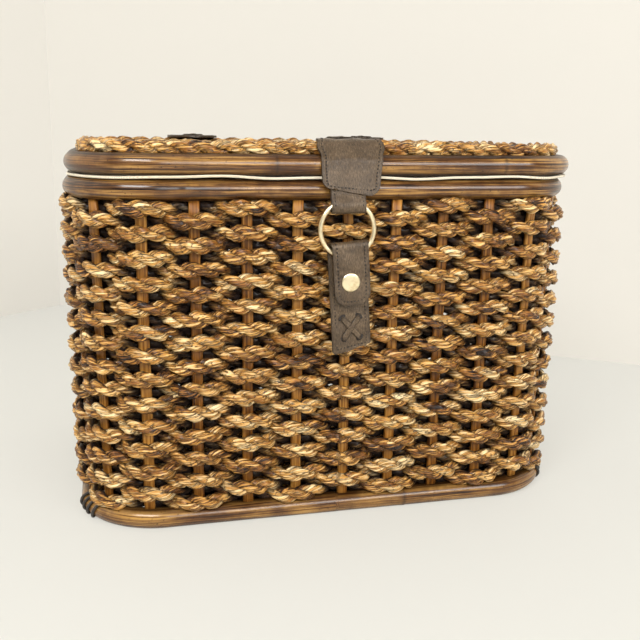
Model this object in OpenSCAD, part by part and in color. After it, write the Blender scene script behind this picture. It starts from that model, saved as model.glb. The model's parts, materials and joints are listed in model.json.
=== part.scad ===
// Wicker fishing creel with a framed lid, a leather closing tab and a snap strap.
// +Z is up and the front faces -Y. The origin is on the floor under the middle of the basket.

/* [Basket] */
// Width over the rim pole
rim_w = 387; // [340:1:460]
// Depth over the rim pole
rim_d = 273; // [240:1:330]
// Outer corner radius of the rim pole
rim_corner_r = 64; // [56:1:80]
// How far each side of the base stands inside the rim
base_taper = 3; // [0:0.5:6]
// Height of the woven wall between its two poles
wall_h = 223; // [160:1:300]
// Diameter of the rattan poles
pole_d = 15.2; // [13:0.1:18]
// Depth of the flat worn under the base pole
base_flat = 0.5; // [0.3:0.1:1]

/* [Weave] */
// Number of rope rows in the wall
row_count = 26; // [18:2:34]
// Thickness of the rope
rope_t = 9.4; // [7:0.1:10.5]
// Gap between two rows of rope
row_gap = 0.4; // [0.2:0.1:0.8]
// Number of upright stakes round the wall
stake_count = 32; // [26:2:36]
// Width of a flat stake or rib
stake_w = 9; // [6:0.5:11]
// Thickness of a flat stake or rib
stake_t = 3; // [2:0.1:4]
// Place of the first stake, to the right of the middle of the front
first_stake_x = 3.6; // [0:0.1:8]
// Clearance between a rope and a stake
weave_gap = 0.45; // [0.4:0.05:0.7]
// Length of rope that lies flat past each edge of a stake
flat_past_stake = 2; // [1:0.25:3]

/* [Lid] */
// How far the lid frame stands out past the rim on each side
lid_over = 1.5; // [0:0.25:4]
// Gap between the rim pole and the lid pole
lid_gap = 1.8; // [1.4:0.1:3]
// How far the lid sits to the right of the basket
lid_shift = 3; // [0:0.5:4]
// Height of the ribs above the middle of the lid pole
lid_rib_rise = 4.1; // [3.9:0.1:4.6]
// Height of the border rope above the middle of the lid pole
border_rise = 11.1; // [10.9:0.1:11.8]
// Number of rope rows across the lid
lid_row_count = 27; // [21:2:33]
// Number of ribs in the lid
lid_rib_count = 10; // [8:2:10]
// How far the outermost ribs stand inside the middle of the side poles, in the lid and the base
rib_in = 25; // [22:0.5:30]
// Thickness of the cloth lining
lining_t = 0.85; // [0.6:0.05:1]
// How far the edge of the lining stays inside the lid pole
lining_inset = 2.6; // [1:0.1:5]

/* [Base] */
// Height of the middle of the base ribs
base_rib_z = 12; // [11.6:0.1:12.6]
// Number of rope rows across the base
base_row_count = 25; // [19:2:31]
// Number of ribs in the base
base_rib_count = 10; // [6:2:10]
// Diameter of the lashing cord
lash_d = 2; // [1.4:0.1:2.4]
// Number of turns in each lashing
lash_turns = 3; // [2:1:5]

/* [Leather] */
// Thickness of the straps and the tab
leather_t = 1.8; // [1.4:0.1:2.2]
// Thickness of the loop that holds the ring
loop_t = 1.3; // [1:0.1:1.6]
// Clearance between the leather and what it lies on
skin_gap = 0.3; // [0.2:0.05:0.4]
// Width of the closing tab on the lid
tab_top_w = 48; // [42:1:56]
// Width of the closing tab at its lower end
tab_low_w = 31; // [30:1:38]
// Sideways place of the middle of the tab at its top
tab_top_x = 2.5; // [0:0.5:4]
// How far the tab hangs below its fold
tab_drop = 20; // [18:0.5:23]
// How far the lower end of the tab stands out past its fold
tab_lift = 5.7; // [5.2:0.1:7]
// Radius of the lower corners of the tab
tab_corner_r = 7; // [4:0.5:10]
// Length of the tab on top of the lid
tab_back_len = 46; // [40:1:60]
// Width of the loop
loop_w = 24; // [20:0.5:24]
// Length of the loop behind the tab
loop_stem = 8; // [6:0.5:10]
// Width of the hinge straps
hinge_w = 44; // [36:1:52]
// Distance of each hinge strap from the middle of the back
hinge_x = 82; // [60:1:100]
// Length of a hinge strap on top of the lid
hinge_top_len = 48; // [40:1:60]
// Length of a hinge strap on the back of the basket
hinge_low_len = 52; // [44:1:70]
// Width of the lace
lace_w = 3.6; // [2.5:0.1:5]
// Thickness of the lace
lace_t = 1.8; // [1.2:0.1:2.2]
// Length of one arm of a laced cross
lace_len = 26; // [18:1:28]
// Angle of the arms of a laced cross
lace_angle = 52; // [35:1:60]

/* [Ring] */
// Outer diameter of the ring
ring_d = 42; // [40:0.5:44]
// Diameter of the ring's wire
ring_wire_d = 3.2; // [2.6:0.1:3.4]
// Sideways place of the ring
ring_x = -1; // [-1.5:0.25:0]
// Clearance between the ring and the leather round it
ring_play = 0.3; // [0.2:0.05:0.4]

/* [Snap strap] */
// Width of the snap strap
strap_w = 28.5; // [26:0.5:29]
// Sideways place of the strap at its fold
strap_x = -0.5; // [-1:0.25:0.5]
// Lean of the strap from upright, in degrees
strap_lean = 4; // [0:0.5:6]
// Length of the strap's front flap below its fold
flap_len = 42; // [38:0.5:50]
// Length of the strap's back layer below its fold
back_len = 78; // [70:1:90]
// Height of the snap below the fold
snap_drop = 25; // [22:0.5:28]
// Diameter of the snap's cap
cap_d = 13.4; // [11:0.1:15]
// Height of the snap's cap
cap_h = 1.2; // [0.8:0.1:1.6]
// Diameter of the snap's socket
socket_d = 11; // [9.5:0.1:12]
// Diameter of the stud that fits in the socket
stud_d = 5.6; // [4.8:0.1:6.2]
// Diameter of the rivet that joins the cap to the socket
rivet_d = 4; // [3:0.1:4.4]
// Clearance round the stud and the rivet
snap_fit = 0.2; // [0.1:0.05:0.3]
// Height of the laced cross above the strap's lower end
strap_lace_up = 19; // [16:0.5:22]

/* [Hidden] */
$fn = 48;
rattan = [0.36, 0.2, 0.1];
splint = [0.55, 0.33, 0.15];
rope = [0.6, 0.39, 0.19];
hide = [0.28, 0.22, 0.19];
pale_brass = [0.8, 0.72, 0.55];
cream = [0.87, 0.82, 0.7];
black_cord = [0.1, 0.08, 0.07];

// Frame of the basket
pole_r = pole_d / 2;
corner_x = rim_w / 2 - rim_corner_r;
corner_y = rim_d / 2 - rim_corner_r;
rim_r = rim_corner_r - pole_r;
base_r = rim_r - base_taper;
base_z = pole_r - base_flat;
wall_z = base_z + pole_r;
rim_z = wall_z + wall_h + pole_r;
// Round the wall
corner_len = rim_r * PI / 2;
wall_len = 4 * (corner_x + corner_y + corner_len);
stake_pitch = wall_len / stake_count;
row_pitch = wall_h / row_count;
row_h = row_pitch - row_gap;
wave = stake_t / 2 + weave_gap + rope_t / 2;
flat_half = stake_w / 2 + flat_past_stake;
weave_half = wave + rope_t / 2;
wall_slope = atan(base_taper / (rim_z - base_z));
wall_out = corner_y + rim_r + weave_half;
end_gap = 0.1;
// Lid
lid_r = rim_r + lid_over;
lid_z = rim_z + pole_d + lid_gap;
lid_rib_z = lid_z + lid_rib_rise;
border_r = 4.9;
// In steps of 0.1 mm, so that the border's bends and straights meet face to face
border_in = ceil(10 * sqrt(pow(pole_r + border_r + end_gap, 2) - pow(border_rise, 2))) / 10;
border_z = lid_z + border_rise;
border_top = border_z + border_r;
lid_panel_r = lid_r - border_in - border_r - skin_gap;
lid_rib_pitch = 2 * (corner_x + lid_r - rib_in) / (lid_rib_count - 1);
lid_row_pitch = 2 * (corner_y + lid_panel_r) / lid_row_count;
lining_top = lid_z - pole_r - end_gap;
// Base
base_panel_r = base_r - weave_half - skin_gap;
base_rib_pitch = 2 * (corner_x + base_r - rib_in) / (base_rib_count - 1);
base_row_pitch = 2 * (corner_y + base_panel_r) / base_row_count;
// Leather
lid_skin_r = pole_r + skin_gap + leather_t / 2;
border_skin_r = border_r + skin_gap + leather_t / 2;
pole_y = corner_y + lid_r;
fold_y = pole_y + lid_skin_r + leather_t / 2;
hinge_axis_z = (rim_z + lid_z) / 2;
ring_mid_r = (ring_d - ring_wire_d) / 2;
ring_y = -(wall_out + skin_gap + leather_t + ring_play + ring_wire_d / 2);
slot_half = ring_wire_d / 2 + ring_play;
tab_low_z = lid_z - tab_drop;
tab_slope = atan(tab_lift / tab_drop);
loop_reach = max(abs(loop_w / 2 - ring_x), abs(loop_w / 2 + ring_x));
loop_top_z = tab_low_z - loop_t - 0.9;
ring_z = loop_top_z - ring_play - ring_d / 2;
ring_in_r = ring_d / 2 - ring_wire_d;
loop_low_z = ring_z + sqrt(pow(ring_in_r, 2) - pow(loop_reach, 2)) - ring_play;
strap_reach = strap_w / 2 + abs(strap_x - ring_x) + 0.2;
strap_fold_z = ring_z - sqrt(pow(ring_mid_r, 2) - pow(strap_reach, 2)) + ring_play;
fold_low = strap_fold_z - (ring_z - ring_d / 2 - ring_play);
back_y = -(wall_out + skin_gap);
flap_y = ring_y - slot_half;
snap_gap = 2 * slot_half;
flange_t = 0.8;
socket_t = snap_gap - flange_t - skin_gap;
stud_len = socket_t - 0.7;
bore_len = stud_len + 0.2;
far = 400;

// Point on the wall's middle line, s along it from the middle of the front and o outwards
function wall_point(s, o, r) =
    let (
        t = s < 0 ? s + wall_len : (s >= wall_len ? s - wall_len : s),
        a = t - corner_x,
        b = a - corner_len,
        c = b - 2 * corner_y,
        d = c - corner_len,
        e = d - 2 * corner_x,
        f = e - corner_len,
        g = f - 2 * corner_y,
        h = g - corner_len,
        q = 90 / corner_len
    )
    a < 0 ? [t, -corner_y - r - o] :
    b < 0 ? [corner_x + (r + o) * sin(a * q), -corner_y - (r + o) * cos(a * q)] :
    c < 0 ? [corner_x + r + o, -corner_y + b] :
    d < 0 ? [corner_x + (r + o) * cos(c * q), corner_y + (r + o) * sin(c * q)] :
    e < 0 ? [corner_x - d, corner_y + r + o] :
    f < 0 ? [-corner_x - (r + o) * sin(e * q), corner_y + (r + o) * cos(e * q)] :
    g < 0 ? [-corner_x - r - o, corner_y - f] :
    h < 0 ? [-corner_x - (r + o) * cos(g * q), -corner_y - (r + o) * sin(g * q)] :
    [h - corner_x, -corner_y - r - o];

// Turn of the wall at s, 0 on the front and 90 on the right side
function wall_turn(s) =
    let (p = wall_point(s, 1, rim_r) - wall_point(s, 0, rim_r))
    atan2(p[0], -p[1]);

// Radius of the wall's corner at a height
function wall_r(z) = base_r + base_taper * (z - base_z) / (rim_z - base_z);

function stake_s(i) = first_stake_x + i * stake_pitch;

// Side of a row at a stake, 1 outside and -1 inside
function side(i, k) = (i + k) % 2 == 0 ? -1 : 1;

// Half length of a strip at a distance c from the middle of a rounded panel
function reach(c, long, short, r) = long + sqrt(max(0, r * r - pow(max(0, c - short), 2)));

// Outline of a band of the given thickness along points
function band(points, t) = concat(
    [for (p = points) p + [0, t / 2]],
    [for (i = [len(points) - 1:-1:0]) points[i] - [0, t / 2]]);

// Round tube along a rounded rectangle
module rounded_loop(r, z, tube_r) {
    for (i = [0:3]) {
        right = i == 0 || i == 3 ? 1 : -1;
        back = i < 2 ? 1 : -1;
        translate([right * corner_x, back * corner_y, z]) rotate([0, 0, 90 * i])
            rotate_extrude(angle = 90) translate([r, 0]) circle(tube_r);
    }
    for (i = [-1, 1]) {
        translate([-corner_x, i * (corner_y + r), z]) rotate([0, 90, 0])
            cylinder(h = 2 * corner_x, r = tube_r);
        translate([i * (corner_x + r), corner_y, z]) rotate([90, 0, 0])
            cylinder(h = 2 * corner_y, r = tube_r);
    }
}

module rounded_plate(r, t) {
    linear_extrude(t) {
        square([2 * (corner_x + r), 2 * corner_y], center = true);
        square([2 * corner_x, 2 * (corner_y + r)], center = true);
        for (x = [-1, 1], y = [-1, 1]) translate([x * corner_x, y * corner_y]) circle(r);
    }
}

// Flat ribs from front to back
module ribs(count, pitch, z, r) {
    for (i = [0:count - 1]) {
        x = (i - (count - 1) / 2) * pitch;
        y = reach(abs(x) + stake_w / 2, corner_y, corner_x, r);
        translate([x - stake_w / 2, -y, z - stake_t / 2]) cube([stake_w, 2 * y, stake_t]);
    }
}

// Rope rows from left to right, over and under the ribs
module panel_weave(rows, pitch, count, rib_pitch, z, r) {
    for (j = [0:rows - 1]) {
        y = (j - (rows - 1) / 2) * pitch;
        end = reach(abs(y) + (pitch - row_gap) / 2, corner_x, corner_y, r);
        xs = [for (i = [0:count - 1]) (i - (count - 1) / 2) * rib_pitch];
        inside = [for (i = [0:count - 1]) if (abs(xs[i]) + flat_half < end - 1) i];
        first = inside[0];
        last = inside[len(inside) - 1];
        points = concat(
            [[-end, wave * side(first, j)]],
            [for (i = inside, e = [-1, 1]) [xs[i] + e * flat_half, wave * side(i, j)]],
            [[end, wave * side(last, j)]]);
        translate([0, y + (pitch - row_gap) / 2, z]) rotate([90, 0, 0])
            linear_extrude(pitch - row_gap) polygon(band(points, rope_t));
    }
}

module base_pole() {
    color(rattan) difference() {
        rounded_loop(base_r, base_z, pole_r);
        translate([-far, -far, -far]) cube([2 * far, 2 * far, far]);
    }
}

module base_ribs() {
    seat = sqrt(pow(pole_r, 2) - pow(base_rib_z - stake_t / 2 - base_z, 2)) + end_gap;
    color(splint) ribs(base_rib_count, base_rib_pitch, base_rib_z, base_r - seat);
}

module base_weave() {
    color(rope) panel_weave(
        base_row_count, base_row_pitch, base_rib_count, base_rib_pitch, base_rib_z, base_panel_r);
}

// Dark cord turned round the outside of the base pole at its two front corners
module base_lashings() {
    low = asin((base_z - end_gap - lash_d / 2) / (pole_r + lash_d)) - 5;
    color(black_cord) for (s = [-1, 1], i = [0:lash_turns - 1]) {
        turn = 40 + i * (lash_d + 0.6) / base_r * 180 / PI;
        translate([s * corner_x, -corner_y, base_z]) rotate([0, 0, s * turn])
            translate([0, -base_r, 0]) rotate([90, 0, -90]) rotate([0, 0, -low])
            rotate_extrude(angle = low + 42)
            translate([pole_r + end_gap + lash_d / 2, 0]) circle(lash_d / 2);
    }
}

module wall_stakes() {
    color(splint) for (i = [0:stake_count - 1]) {
        s = stake_s(i);
        p = wall_point(s, 0, wall_r(wall_z));
        translate([p[0], p[1], wall_z + end_gap]) rotate([0, 0, wall_turn(s)])
            rotate([wall_slope, 0, 0]) translate([-stake_w / 2, -stake_t / 2, 0])
            cube([stake_w, stake_t, wall_h - 2 * end_gap]);
    }
}

// Rope rows round the wall, each outside every second stake
module wall_weave() {
    color(rope) for (k = [0:row_count - 1]) {
        z = wall_z + (k + 0.5) * row_pitch;
        r = wall_r(z);
        translate([0, 0, z - row_h / 2]) linear_extrude(row_h) difference() {
            polygon([for (i = [0:stake_count - 1], e = [-1, 1])
                wall_point(stake_s(i) + e * flat_half, wave * side(i, k) + rope_t / 2, r)]);
            polygon([for (i = [0:stake_count - 1], e = [-1, 1])
                wall_point(stake_s(i) + e * flat_half, wave * side(i, k) - rope_t / 2, r)]);
        }
    }
}

module rim_pole() {
    color(rattan) rounded_loop(rim_r, rim_z, pole_r);
}

module lid_pole() {
    color(rattan) translate([lid_shift, 0, 0]) rounded_loop(lid_r, lid_z, pole_r);
}

module lid_ribs() {
    seat = sqrt(pow(pole_r, 2) - pow(lid_rib_rise - stake_t / 2, 2)) + end_gap;
    color(splint) translate([lid_shift, 0, 0])
        ribs(lid_rib_count, lid_rib_pitch, lid_rib_z, lid_r - seat);
}

module lid_weave() {
    color(rope) translate([lid_shift, 0, 0]) panel_weave(
        lid_row_count, lid_row_pitch, lid_rib_count, lid_rib_pitch, lid_rib_z, lid_panel_r);
}

module lid_border() {
    color(rope) translate([lid_shift, 0, 0]) rounded_loop(lid_r - border_in, border_z, border_r);
}

module lid_lining() {
    color(cream) translate([lid_shift, 0, lining_top - lining_t])
        rounded_plate(lid_r + pole_r - lining_inset, lining_t);
}

// Side view of leather that lies on the lid and wraps down over its border and pole
function wrap_side(out, back_len, low_z) =
    let (
        step = [-border_in, -border_rise],
        tangent = atan2(border_rise, border_in)
            - asin((lid_skin_r - border_skin_r) / norm(step)),
        a1 = 90 - tangent,
        border = [pole_y - border_in, border_z],
        pole = [pole_y, lid_z],
        r1 = border_skin_r + out,
        r2 = lid_skin_r + out
    )
    concat(
        [[border[0] + border_skin_r - back_len, border[1] + r1]],
        [for (i = [0:4]) border + r1 * [sin(a1 * i / 4), cos(a1 * i / 4)]],
        [for (i = [0:4]) pole + r2 * [sin(a1 + (90 - a1) * i / 4), cos(a1 + (90 - a1) * i / 4)]],
        low_z < lid_z ? [[pole[0] + r2, low_z]] : []);

// Leather wrap, w wide, on the back of the lid
module lid_wrap(w, back_len, low_z) {
    outer = wrap_side(leather_t / 2, back_len, low_z);
    inner = wrap_side(-leather_t / 2, back_len, low_z);
    rotate([90, 0, 90]) translate([0, 0, -w / 2]) linear_extrude(w)
        polygon(concat(outer, [for (i = [len(inner) - 1:-1:0]) inner[i]]));
}

// Plan of a strap on the lid with one round end, its length along Y
module round_ended(w, y_end, h) {
    translate([0, 0, lid_z - pole_d]) linear_extrude(h) {
        translate([-w / 2, y_end + w / 2]) square([w, far]);
        translate([0, y_end + w / 2]) circle(w / 2);
    }
}

// Cross of two lace arms in the XY plane
module lace_cross(len, angle, t) {
    linear_extrude(t) for (a = [angle, -angle]) rotate([0, 0, a]) {
        square([len - lace_w, lace_w], center = true);
        for (x = [-1, 1]) translate([x * (len - lace_w) / 2, 0]) circle(lace_w / 2);
    }
}

// Leather tab on top of the lid, down to its fold in front of the lid pole
module tab_anchor() {
    end_y = pole_y - border_in + border_skin_r - tab_back_len;
    color(hide) intersection() {
        translate([tab_top_x, 0, 0]) mirror([0, 1, 0]) intersection() {
            lid_wrap(tab_top_w, tab_back_len, lid_z);
            round_ended(tab_top_w, end_y, far);
        }
        rotate([90, 0, 0]) linear_extrude(far) polygon(tab_front(lid_z, lid_z + far / 4));
    }
}

// Middle and half width of the tab at a height
tab_full_z = border_z;
function tab_mid(z) = tab_top_x * max(0, min(1, (z - tab_low_z) / (tab_full_z - tab_low_z)));
function tab_half(z) =
    tab_low_w / 2 + (tab_top_w - tab_low_w) / 2
        * max(0, min(1, (z - tab_low_z) / (tab_full_z - tab_low_z)));
function tab_edge(side, z) = [tab_mid(z) + side * tab_half(z), z];
function tab_front(low, high) = [
    tab_edge(-1, low), tab_edge(1, low), tab_edge(1, tab_full_z), tab_edge(1, high),
    tab_edge(-1, high), tab_edge(-1, tab_full_z)];

// The hanging part of the tab
module tab_flap() {
    top = lid_z - 2 * end_gap;
    r = tab_corner_r;
    back = -(fold_y - leather_t);
    color(hide) intersection() {
        rotate([90, 0, 90]) translate([0, 0, -tab_top_w]) linear_extrude(2 * tab_top_w)
            polygon([[back, top], [back - tab_lift, tab_low_z],
                [back - tab_lift - leather_t, tab_low_z], [back - leather_t, top]]);
        rotate([90, 0, 0]) linear_extrude(far) {
            polygon([tab_edge(-1, tab_low_z + r), tab_edge(1, tab_low_z + r),
                tab_edge(1, lid_z), tab_edge(-1, lid_z)]);
            translate([-tab_low_w / 2 + r, tab_low_z]) square([tab_low_w - 2 * r, r + 1]);
            for (x = [-1, 1]) translate([x * (tab_low_w / 2 - r), tab_low_z + r]) circle(r);
        }
    }
}

// Leather loop round the top of the ring, its stem behind the tab
module ring_loop() {
    out = slot_half + loop_t;
    stem_y = -(fold_y + tab_lift) + leather_t + loop_t + end_gap;
    color(hide) translate([-loop_w / 2, 0, 0]) rotate([90, 0, 90]) linear_extrude(loop_w)
        difference() {
            union() {
                translate([ring_y - out, loop_low_z + slot_half])
                    square([2 * out, loop_top_z - loop_low_z - 2 * slot_half]);
                translate([ring_y, loop_low_z + slot_half]) circle(out);
                translate([ring_y, loop_top_z - slot_half]) circle(out);
                translate([stem_y, tab_low_z]) rotate([0, 0, -tab_slope])
                    translate([-loop_t, -2 * loop_t]) square([2 * loop_t, loop_stem + 2 * loop_t]);
            }
            translate([ring_y - slot_half, loop_low_z + slot_half])
                square([2 * slot_half, loop_top_z - loop_low_z - 2 * slot_half]);
            translate([ring_y, loop_low_z + slot_half]) circle(slot_half);
            translate([ring_y, loop_top_z - slot_half]) circle(slot_half);
        }
}

module ring() {
    color(pale_brass) translate([ring_x, ring_y, ring_z]) rotate([90, 0, 0])
        rotate_extrude() translate([ring_mid_r, 0]) circle(ring_wire_d / 2);
}

// Puts a piece that is drawn under the strap's fold in its leaning place
module on_strap() {
    translate([strap_x, 0, strap_fold_z]) rotate([0, -strap_lean, 0]) children();
}

module strap_back() {
    color(hide) on_strap() translate([-strap_w / 2, back_y - leather_t, -back_len])
        cube([strap_w, leather_t, back_len - fold_low]);
}

module strap_fold() {
    color(hide) on_strap() translate([-strap_w / 2, 0, 0]) rotate([90, 0, 90])
        linear_extrude(strap_w) translate([ring_y, 0]) {
            difference() {
                circle(slot_half + leather_t);
                circle(slot_half);
                translate([-far, -far]) square([2 * far, far]);
            }
            for (y = [slot_half, -slot_half - leather_t])
                translate([y, -fold_low]) square([leather_t, fold_low]);
        }
}

// Front flap of the strap, round at its lower end, with a hole for the snap's rivet
module strap_flap() {
    end_r = strap_w / 2;
    color(hide) on_strap() translate([0, flap_y, 0]) rotate([90, 0, 0]) linear_extrude(leather_t)
        difference() {
            union() {
                translate([-end_r, end_r - flap_len]) square([strap_w, flap_len - end_r - fold_low]);
                translate([0, end_r - flap_len]) circle(end_r);
            }
            translate([0, -snap_drop]) circle(rivet_d / 2 + snap_fit);
        }
}

module strap_lace() {
    color(hide) on_strap()
        translate([0, back_y - leather_t - end_gap, strap_lace_up - back_len])
        rotate([90, 0, 0]) lace_cross(lace_len, 90 - lace_angle / 1.3, lace_t);
}

// Points along -Y from the strap at the snap
module at_snap(y) {
    on_strap() translate([0, y, -snap_drop]) rotate([90, 0, 0]) children();
}

module snap_stud() {
    color(pale_brass) at_snap(back_y - leather_t) {
        cylinder(h = flange_t, d = socket_d - 1);
        cylinder(h = flange_t + skin_gap + stud_len, d = stud_d);
    }
}

module snap_socket() {
    color(pale_brass) at_snap(flap_y + socket_t) difference() {
        cylinder(h = socket_t, d = socket_d);
        translate([0, 0, -1]) cylinder(h = bore_len + 1, d = stud_d + 2 * snap_fit);
    }
}

module snap_cap() {
    rim = 0.4;
    color(pale_brass) at_snap(flap_y - leather_t) {
        rotate_extrude() polygon(concat(
            [[0, 0], [cap_d / 2, 0]],
            [for (i = [0:5]) [cap_d / 2 * cos(18 * i), rim + (cap_h - rim) * sin(18 * i)]]));
        translate([0, 0, -leather_t]) cylinder(h = leather_t, d = rivet_d);
    }
}

// Upper part of a hinge strap, on the lid and over its pole
module hinge_upper(x) {
    color(hide) translate([x, 0, 0]) intersection() {
        lid_wrap(hinge_w, hinge_top_len, hinge_axis_z + end_gap);
        round_ended(hinge_w, pole_y - border_in + border_skin_r - hinge_top_len, far);
    }
}

// Lower part of a hinge strap, over the rim pole and down the back of the wall
module hinge_lower(x) {
    top = hinge_axis_z - end_gap;
    low_y = wall_out + skin_gap;
    top_y = fold_y - leather_t;
    bend_top = rim_z;
    bend_low = rim_z - pole_r + row_gap;
    low_z = bend_low - hinge_low_len;
    color(hide) translate([x, 0, 0]) intersection() {
        rotate([90, 0, 90]) translate([0, 0, -hinge_w / 2]) linear_extrude(hinge_w)
            polygon([[top_y, top], [top_y, bend_top], [low_y, bend_low], [low_y, low_z],
                [low_y + leather_t, low_z], [low_y + leather_t, bend_low],
                [top_y + leather_t, bend_top], [top_y + leather_t, top]]);
        translate([0, far, 0]) rotate([90, 0, 0]) linear_extrude(far) {
            translate([-hinge_w / 2, low_z + hinge_w / 2]) square([hinge_w, far]);
            translate([0, low_z + hinge_w / 2]) circle(hinge_w / 2);
        }
    }
}

module tab_lace() {
    y = -(pole_y - border_in + border_skin_r - tab_back_len + tab_top_w / 2);
    color(hide) translate([tab_top_x, y, border_top + skin_gap + leather_t + end_gap])
        lace_cross(lace_len, lace_angle, lace_t);
}

module hinge_laces_upper() {
    y = pole_y - border_in + border_skin_r - hinge_top_len + hinge_w / 2;
    color(hide) for (s = [-1, 1])
        translate([s * hinge_x, y, border_top + skin_gap + leather_t + end_gap])
        lace_cross(lace_len, lace_angle, lace_t);
}

module hinge_laces_lower() {
    z = rim_z - pole_r + row_gap - hinge_low_len + hinge_w / 2;
    color(hide) for (s = [-1, 1])
        translate([s * hinge_x, wall_out + skin_gap + leather_t + end_gap, z])
        rotate([-90, 0, 0]) lace_cross(lace_len, lace_angle, lace_t);
}

base_pole();
base_ribs();
base_weave();
base_lashings();
wall_stakes();
wall_weave();
rim_pole();
strap_back();
strap_fold();
strap_lace();
snap_stud();
hinge_lower(-hinge_x);  // hinge_strap_left_lower
hinge_lower(hinge_x);  // hinge_strap_right_lower
hinge_laces_lower();
lid_pole();
lid_ribs();
lid_weave();
lid_border();
lid_lining();
tab_anchor();
tab_lace();
hinge_upper(-hinge_x);  // hinge_strap_left_upper
hinge_upper(hinge_x);  // hinge_strap_right_upper
hinge_laces_upper();
tab_flap();
ring_loop();
ring();
strap_flap();
snap_cap();
snap_socket();
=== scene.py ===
import json
import math
import bmesh
import bpy
import numpy as np
from mathutils import Matrix, Vector


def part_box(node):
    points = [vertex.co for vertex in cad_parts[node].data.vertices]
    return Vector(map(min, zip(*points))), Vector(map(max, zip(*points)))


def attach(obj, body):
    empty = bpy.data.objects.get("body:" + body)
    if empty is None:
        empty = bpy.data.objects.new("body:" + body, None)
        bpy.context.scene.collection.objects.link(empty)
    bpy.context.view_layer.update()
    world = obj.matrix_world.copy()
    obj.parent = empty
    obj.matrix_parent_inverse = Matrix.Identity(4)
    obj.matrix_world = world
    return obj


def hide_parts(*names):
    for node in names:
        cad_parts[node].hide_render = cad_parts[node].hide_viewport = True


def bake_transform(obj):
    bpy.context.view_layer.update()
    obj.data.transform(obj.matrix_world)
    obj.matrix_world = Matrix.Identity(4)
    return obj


mm = 0.001
fullTurn = 2 * math.pi
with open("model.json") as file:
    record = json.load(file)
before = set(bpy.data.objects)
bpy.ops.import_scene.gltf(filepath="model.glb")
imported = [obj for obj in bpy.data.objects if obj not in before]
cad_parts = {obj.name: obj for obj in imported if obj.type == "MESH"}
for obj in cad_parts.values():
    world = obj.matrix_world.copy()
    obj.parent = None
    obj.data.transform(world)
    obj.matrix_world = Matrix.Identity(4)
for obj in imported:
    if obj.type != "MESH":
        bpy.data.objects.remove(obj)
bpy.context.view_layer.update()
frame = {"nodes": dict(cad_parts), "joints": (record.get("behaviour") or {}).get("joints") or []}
print("frame loaded")


def newObject(name, data):
    made = bpy.data.objects.new(name, data)
    bpy.context.scene.collection.objects.link(made)
    return made


def moved(*place):
    return Matrix.Translation(place)


def turned(angle, axis):
    return Matrix.Rotation(angle, 4, axis)


# camera
camera = {"lens": 47.81, "sensor": 36, "yaw": 14.2, "tilt": 12.4, "roll": 0.78,
          "place": (-164 * mm, -714 * mm, 284 * mm)}


def makeCamera():
    data = bpy.data.cameras.new("camera")
    data.lens = camera["lens"]
    data.sensor_width = camera["sensor"]
    yaw, tilt, roll = (math.radians(camera[k]) for k in ("yaw", "tilt", "roll"))
    ahead = Vector((math.sin(yaw) * math.cos(tilt), math.cos(yaw) * math.cos(tilt), -math.sin(tilt)))
    right = Vector((math.cos(yaw), -math.sin(yaw), 0))
    up = right.cross(ahead)
    rolledRight = math.cos(roll) * right + math.sin(roll) * up
    rolledUp = math.cos(roll) * up - math.sin(roll) * right
    turn = Matrix((rolledRight, rolledUp, -ahead)).transposed().to_4x4()
    cam = newObject("camera", data)
    cam.matrix_world = moved(*camera["place"]) @ turn
    bpy.context.scene.camera = cam


makeCamera()
bpy.context.scene.view_settings.view_transform = "Standard"

# layout of the basket, read from the frame
rimLow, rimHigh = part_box("rim_pole")
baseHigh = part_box("base_pole")[1]
lidLow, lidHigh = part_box("lid_pole")
borderLow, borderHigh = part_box("lid_border")
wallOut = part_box("wall_weave")[1].y
cornerRadius = 64 * mm
poleR = (rimHigh.z - rimLow.z) / 2
cornerX = rimHigh.x - cornerRadius
cornerY = rimHigh.y - cornerRadius
rimR = cornerRadius - poleR
rimZ = rimHigh.z - poleR
baseR = baseHigh.y - cornerY - poleR
baseZ = baseHigh.z - poleR
lidX = (lidLow.x + lidHigh.x) / 2
lidR = lidHigh.y - cornerY - poleR
lidZ = lidHigh.z - poleR
borderTubeR = (borderHigh.z - borderLow.z) / 2
borderR = borderHigh.y - cornerY - borderTubeR
borderZ = borderHigh.z - borderTubeR
wallFoot = baseZ + poleR
wallTall = rimZ - poleR - wallFoot


# where a point lies on a rounded rectangle: s runs along its middle line from the middle of the front
def loopStops(radius):
    corner = radius * math.pi / 2
    steps = [cornerX, corner, 2 * cornerY, corner, 2 * cornerX, corner, 2 * cornerY, corner, cornerX]
    return np.concatenate([[0], np.cumsum(steps)])


loopTurns = np.radians([0, 0, 90, 90, 180, 180, 270, 270, 360, 360])
loopCentreX = cornerX * np.array([0, 1, 1, 1, 1, -1, -1, -1, -1, 0])
loopCentreY = cornerY * np.array([-1, -1, -1, 1, 1, 1, 1, -1, -1, -1])


def roundLoop(s, radius, measure):
    stops = loopStops(measure)
    s = np.mod(s, stops[-1])
    turn = np.interp(s, stops, loopTurns)
    outward = np.stack([np.sin(turn), -np.cos(turn), 0 * turn], 1)
    centre = np.stack([np.interp(s, stops, loopCentreX), np.interp(s, stops, loopCentreY), 0 * turn], 1)
    return centre + outward * np.reshape(radius, (-1, 1)), outward


def loopMarks(radius, step):
    length = loopStops(radius)[-1]
    return length, np.linspace(0, length, round(length / step), endpoint=False)


# shared helpers for shapes
def cycles(length, wave):
    return max(1, round(length / wave))


def ripple(s, rng, waves, length):
    total = 0 * s
    for wave in waves:
        total = total + np.sin(fullTurn * cycles(length, wave * mm) * s / length + rng.uniform(0, fullTurn))
    return total / math.sqrt(len(waves))


def unit(v):
    return v / np.linalg.norm(v, axis=1, keepdims=True)


def distances(points):
    return np.concatenate([[0], np.cumsum(np.linalg.norm(np.diff(points, axis=0), axis=1))])


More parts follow.
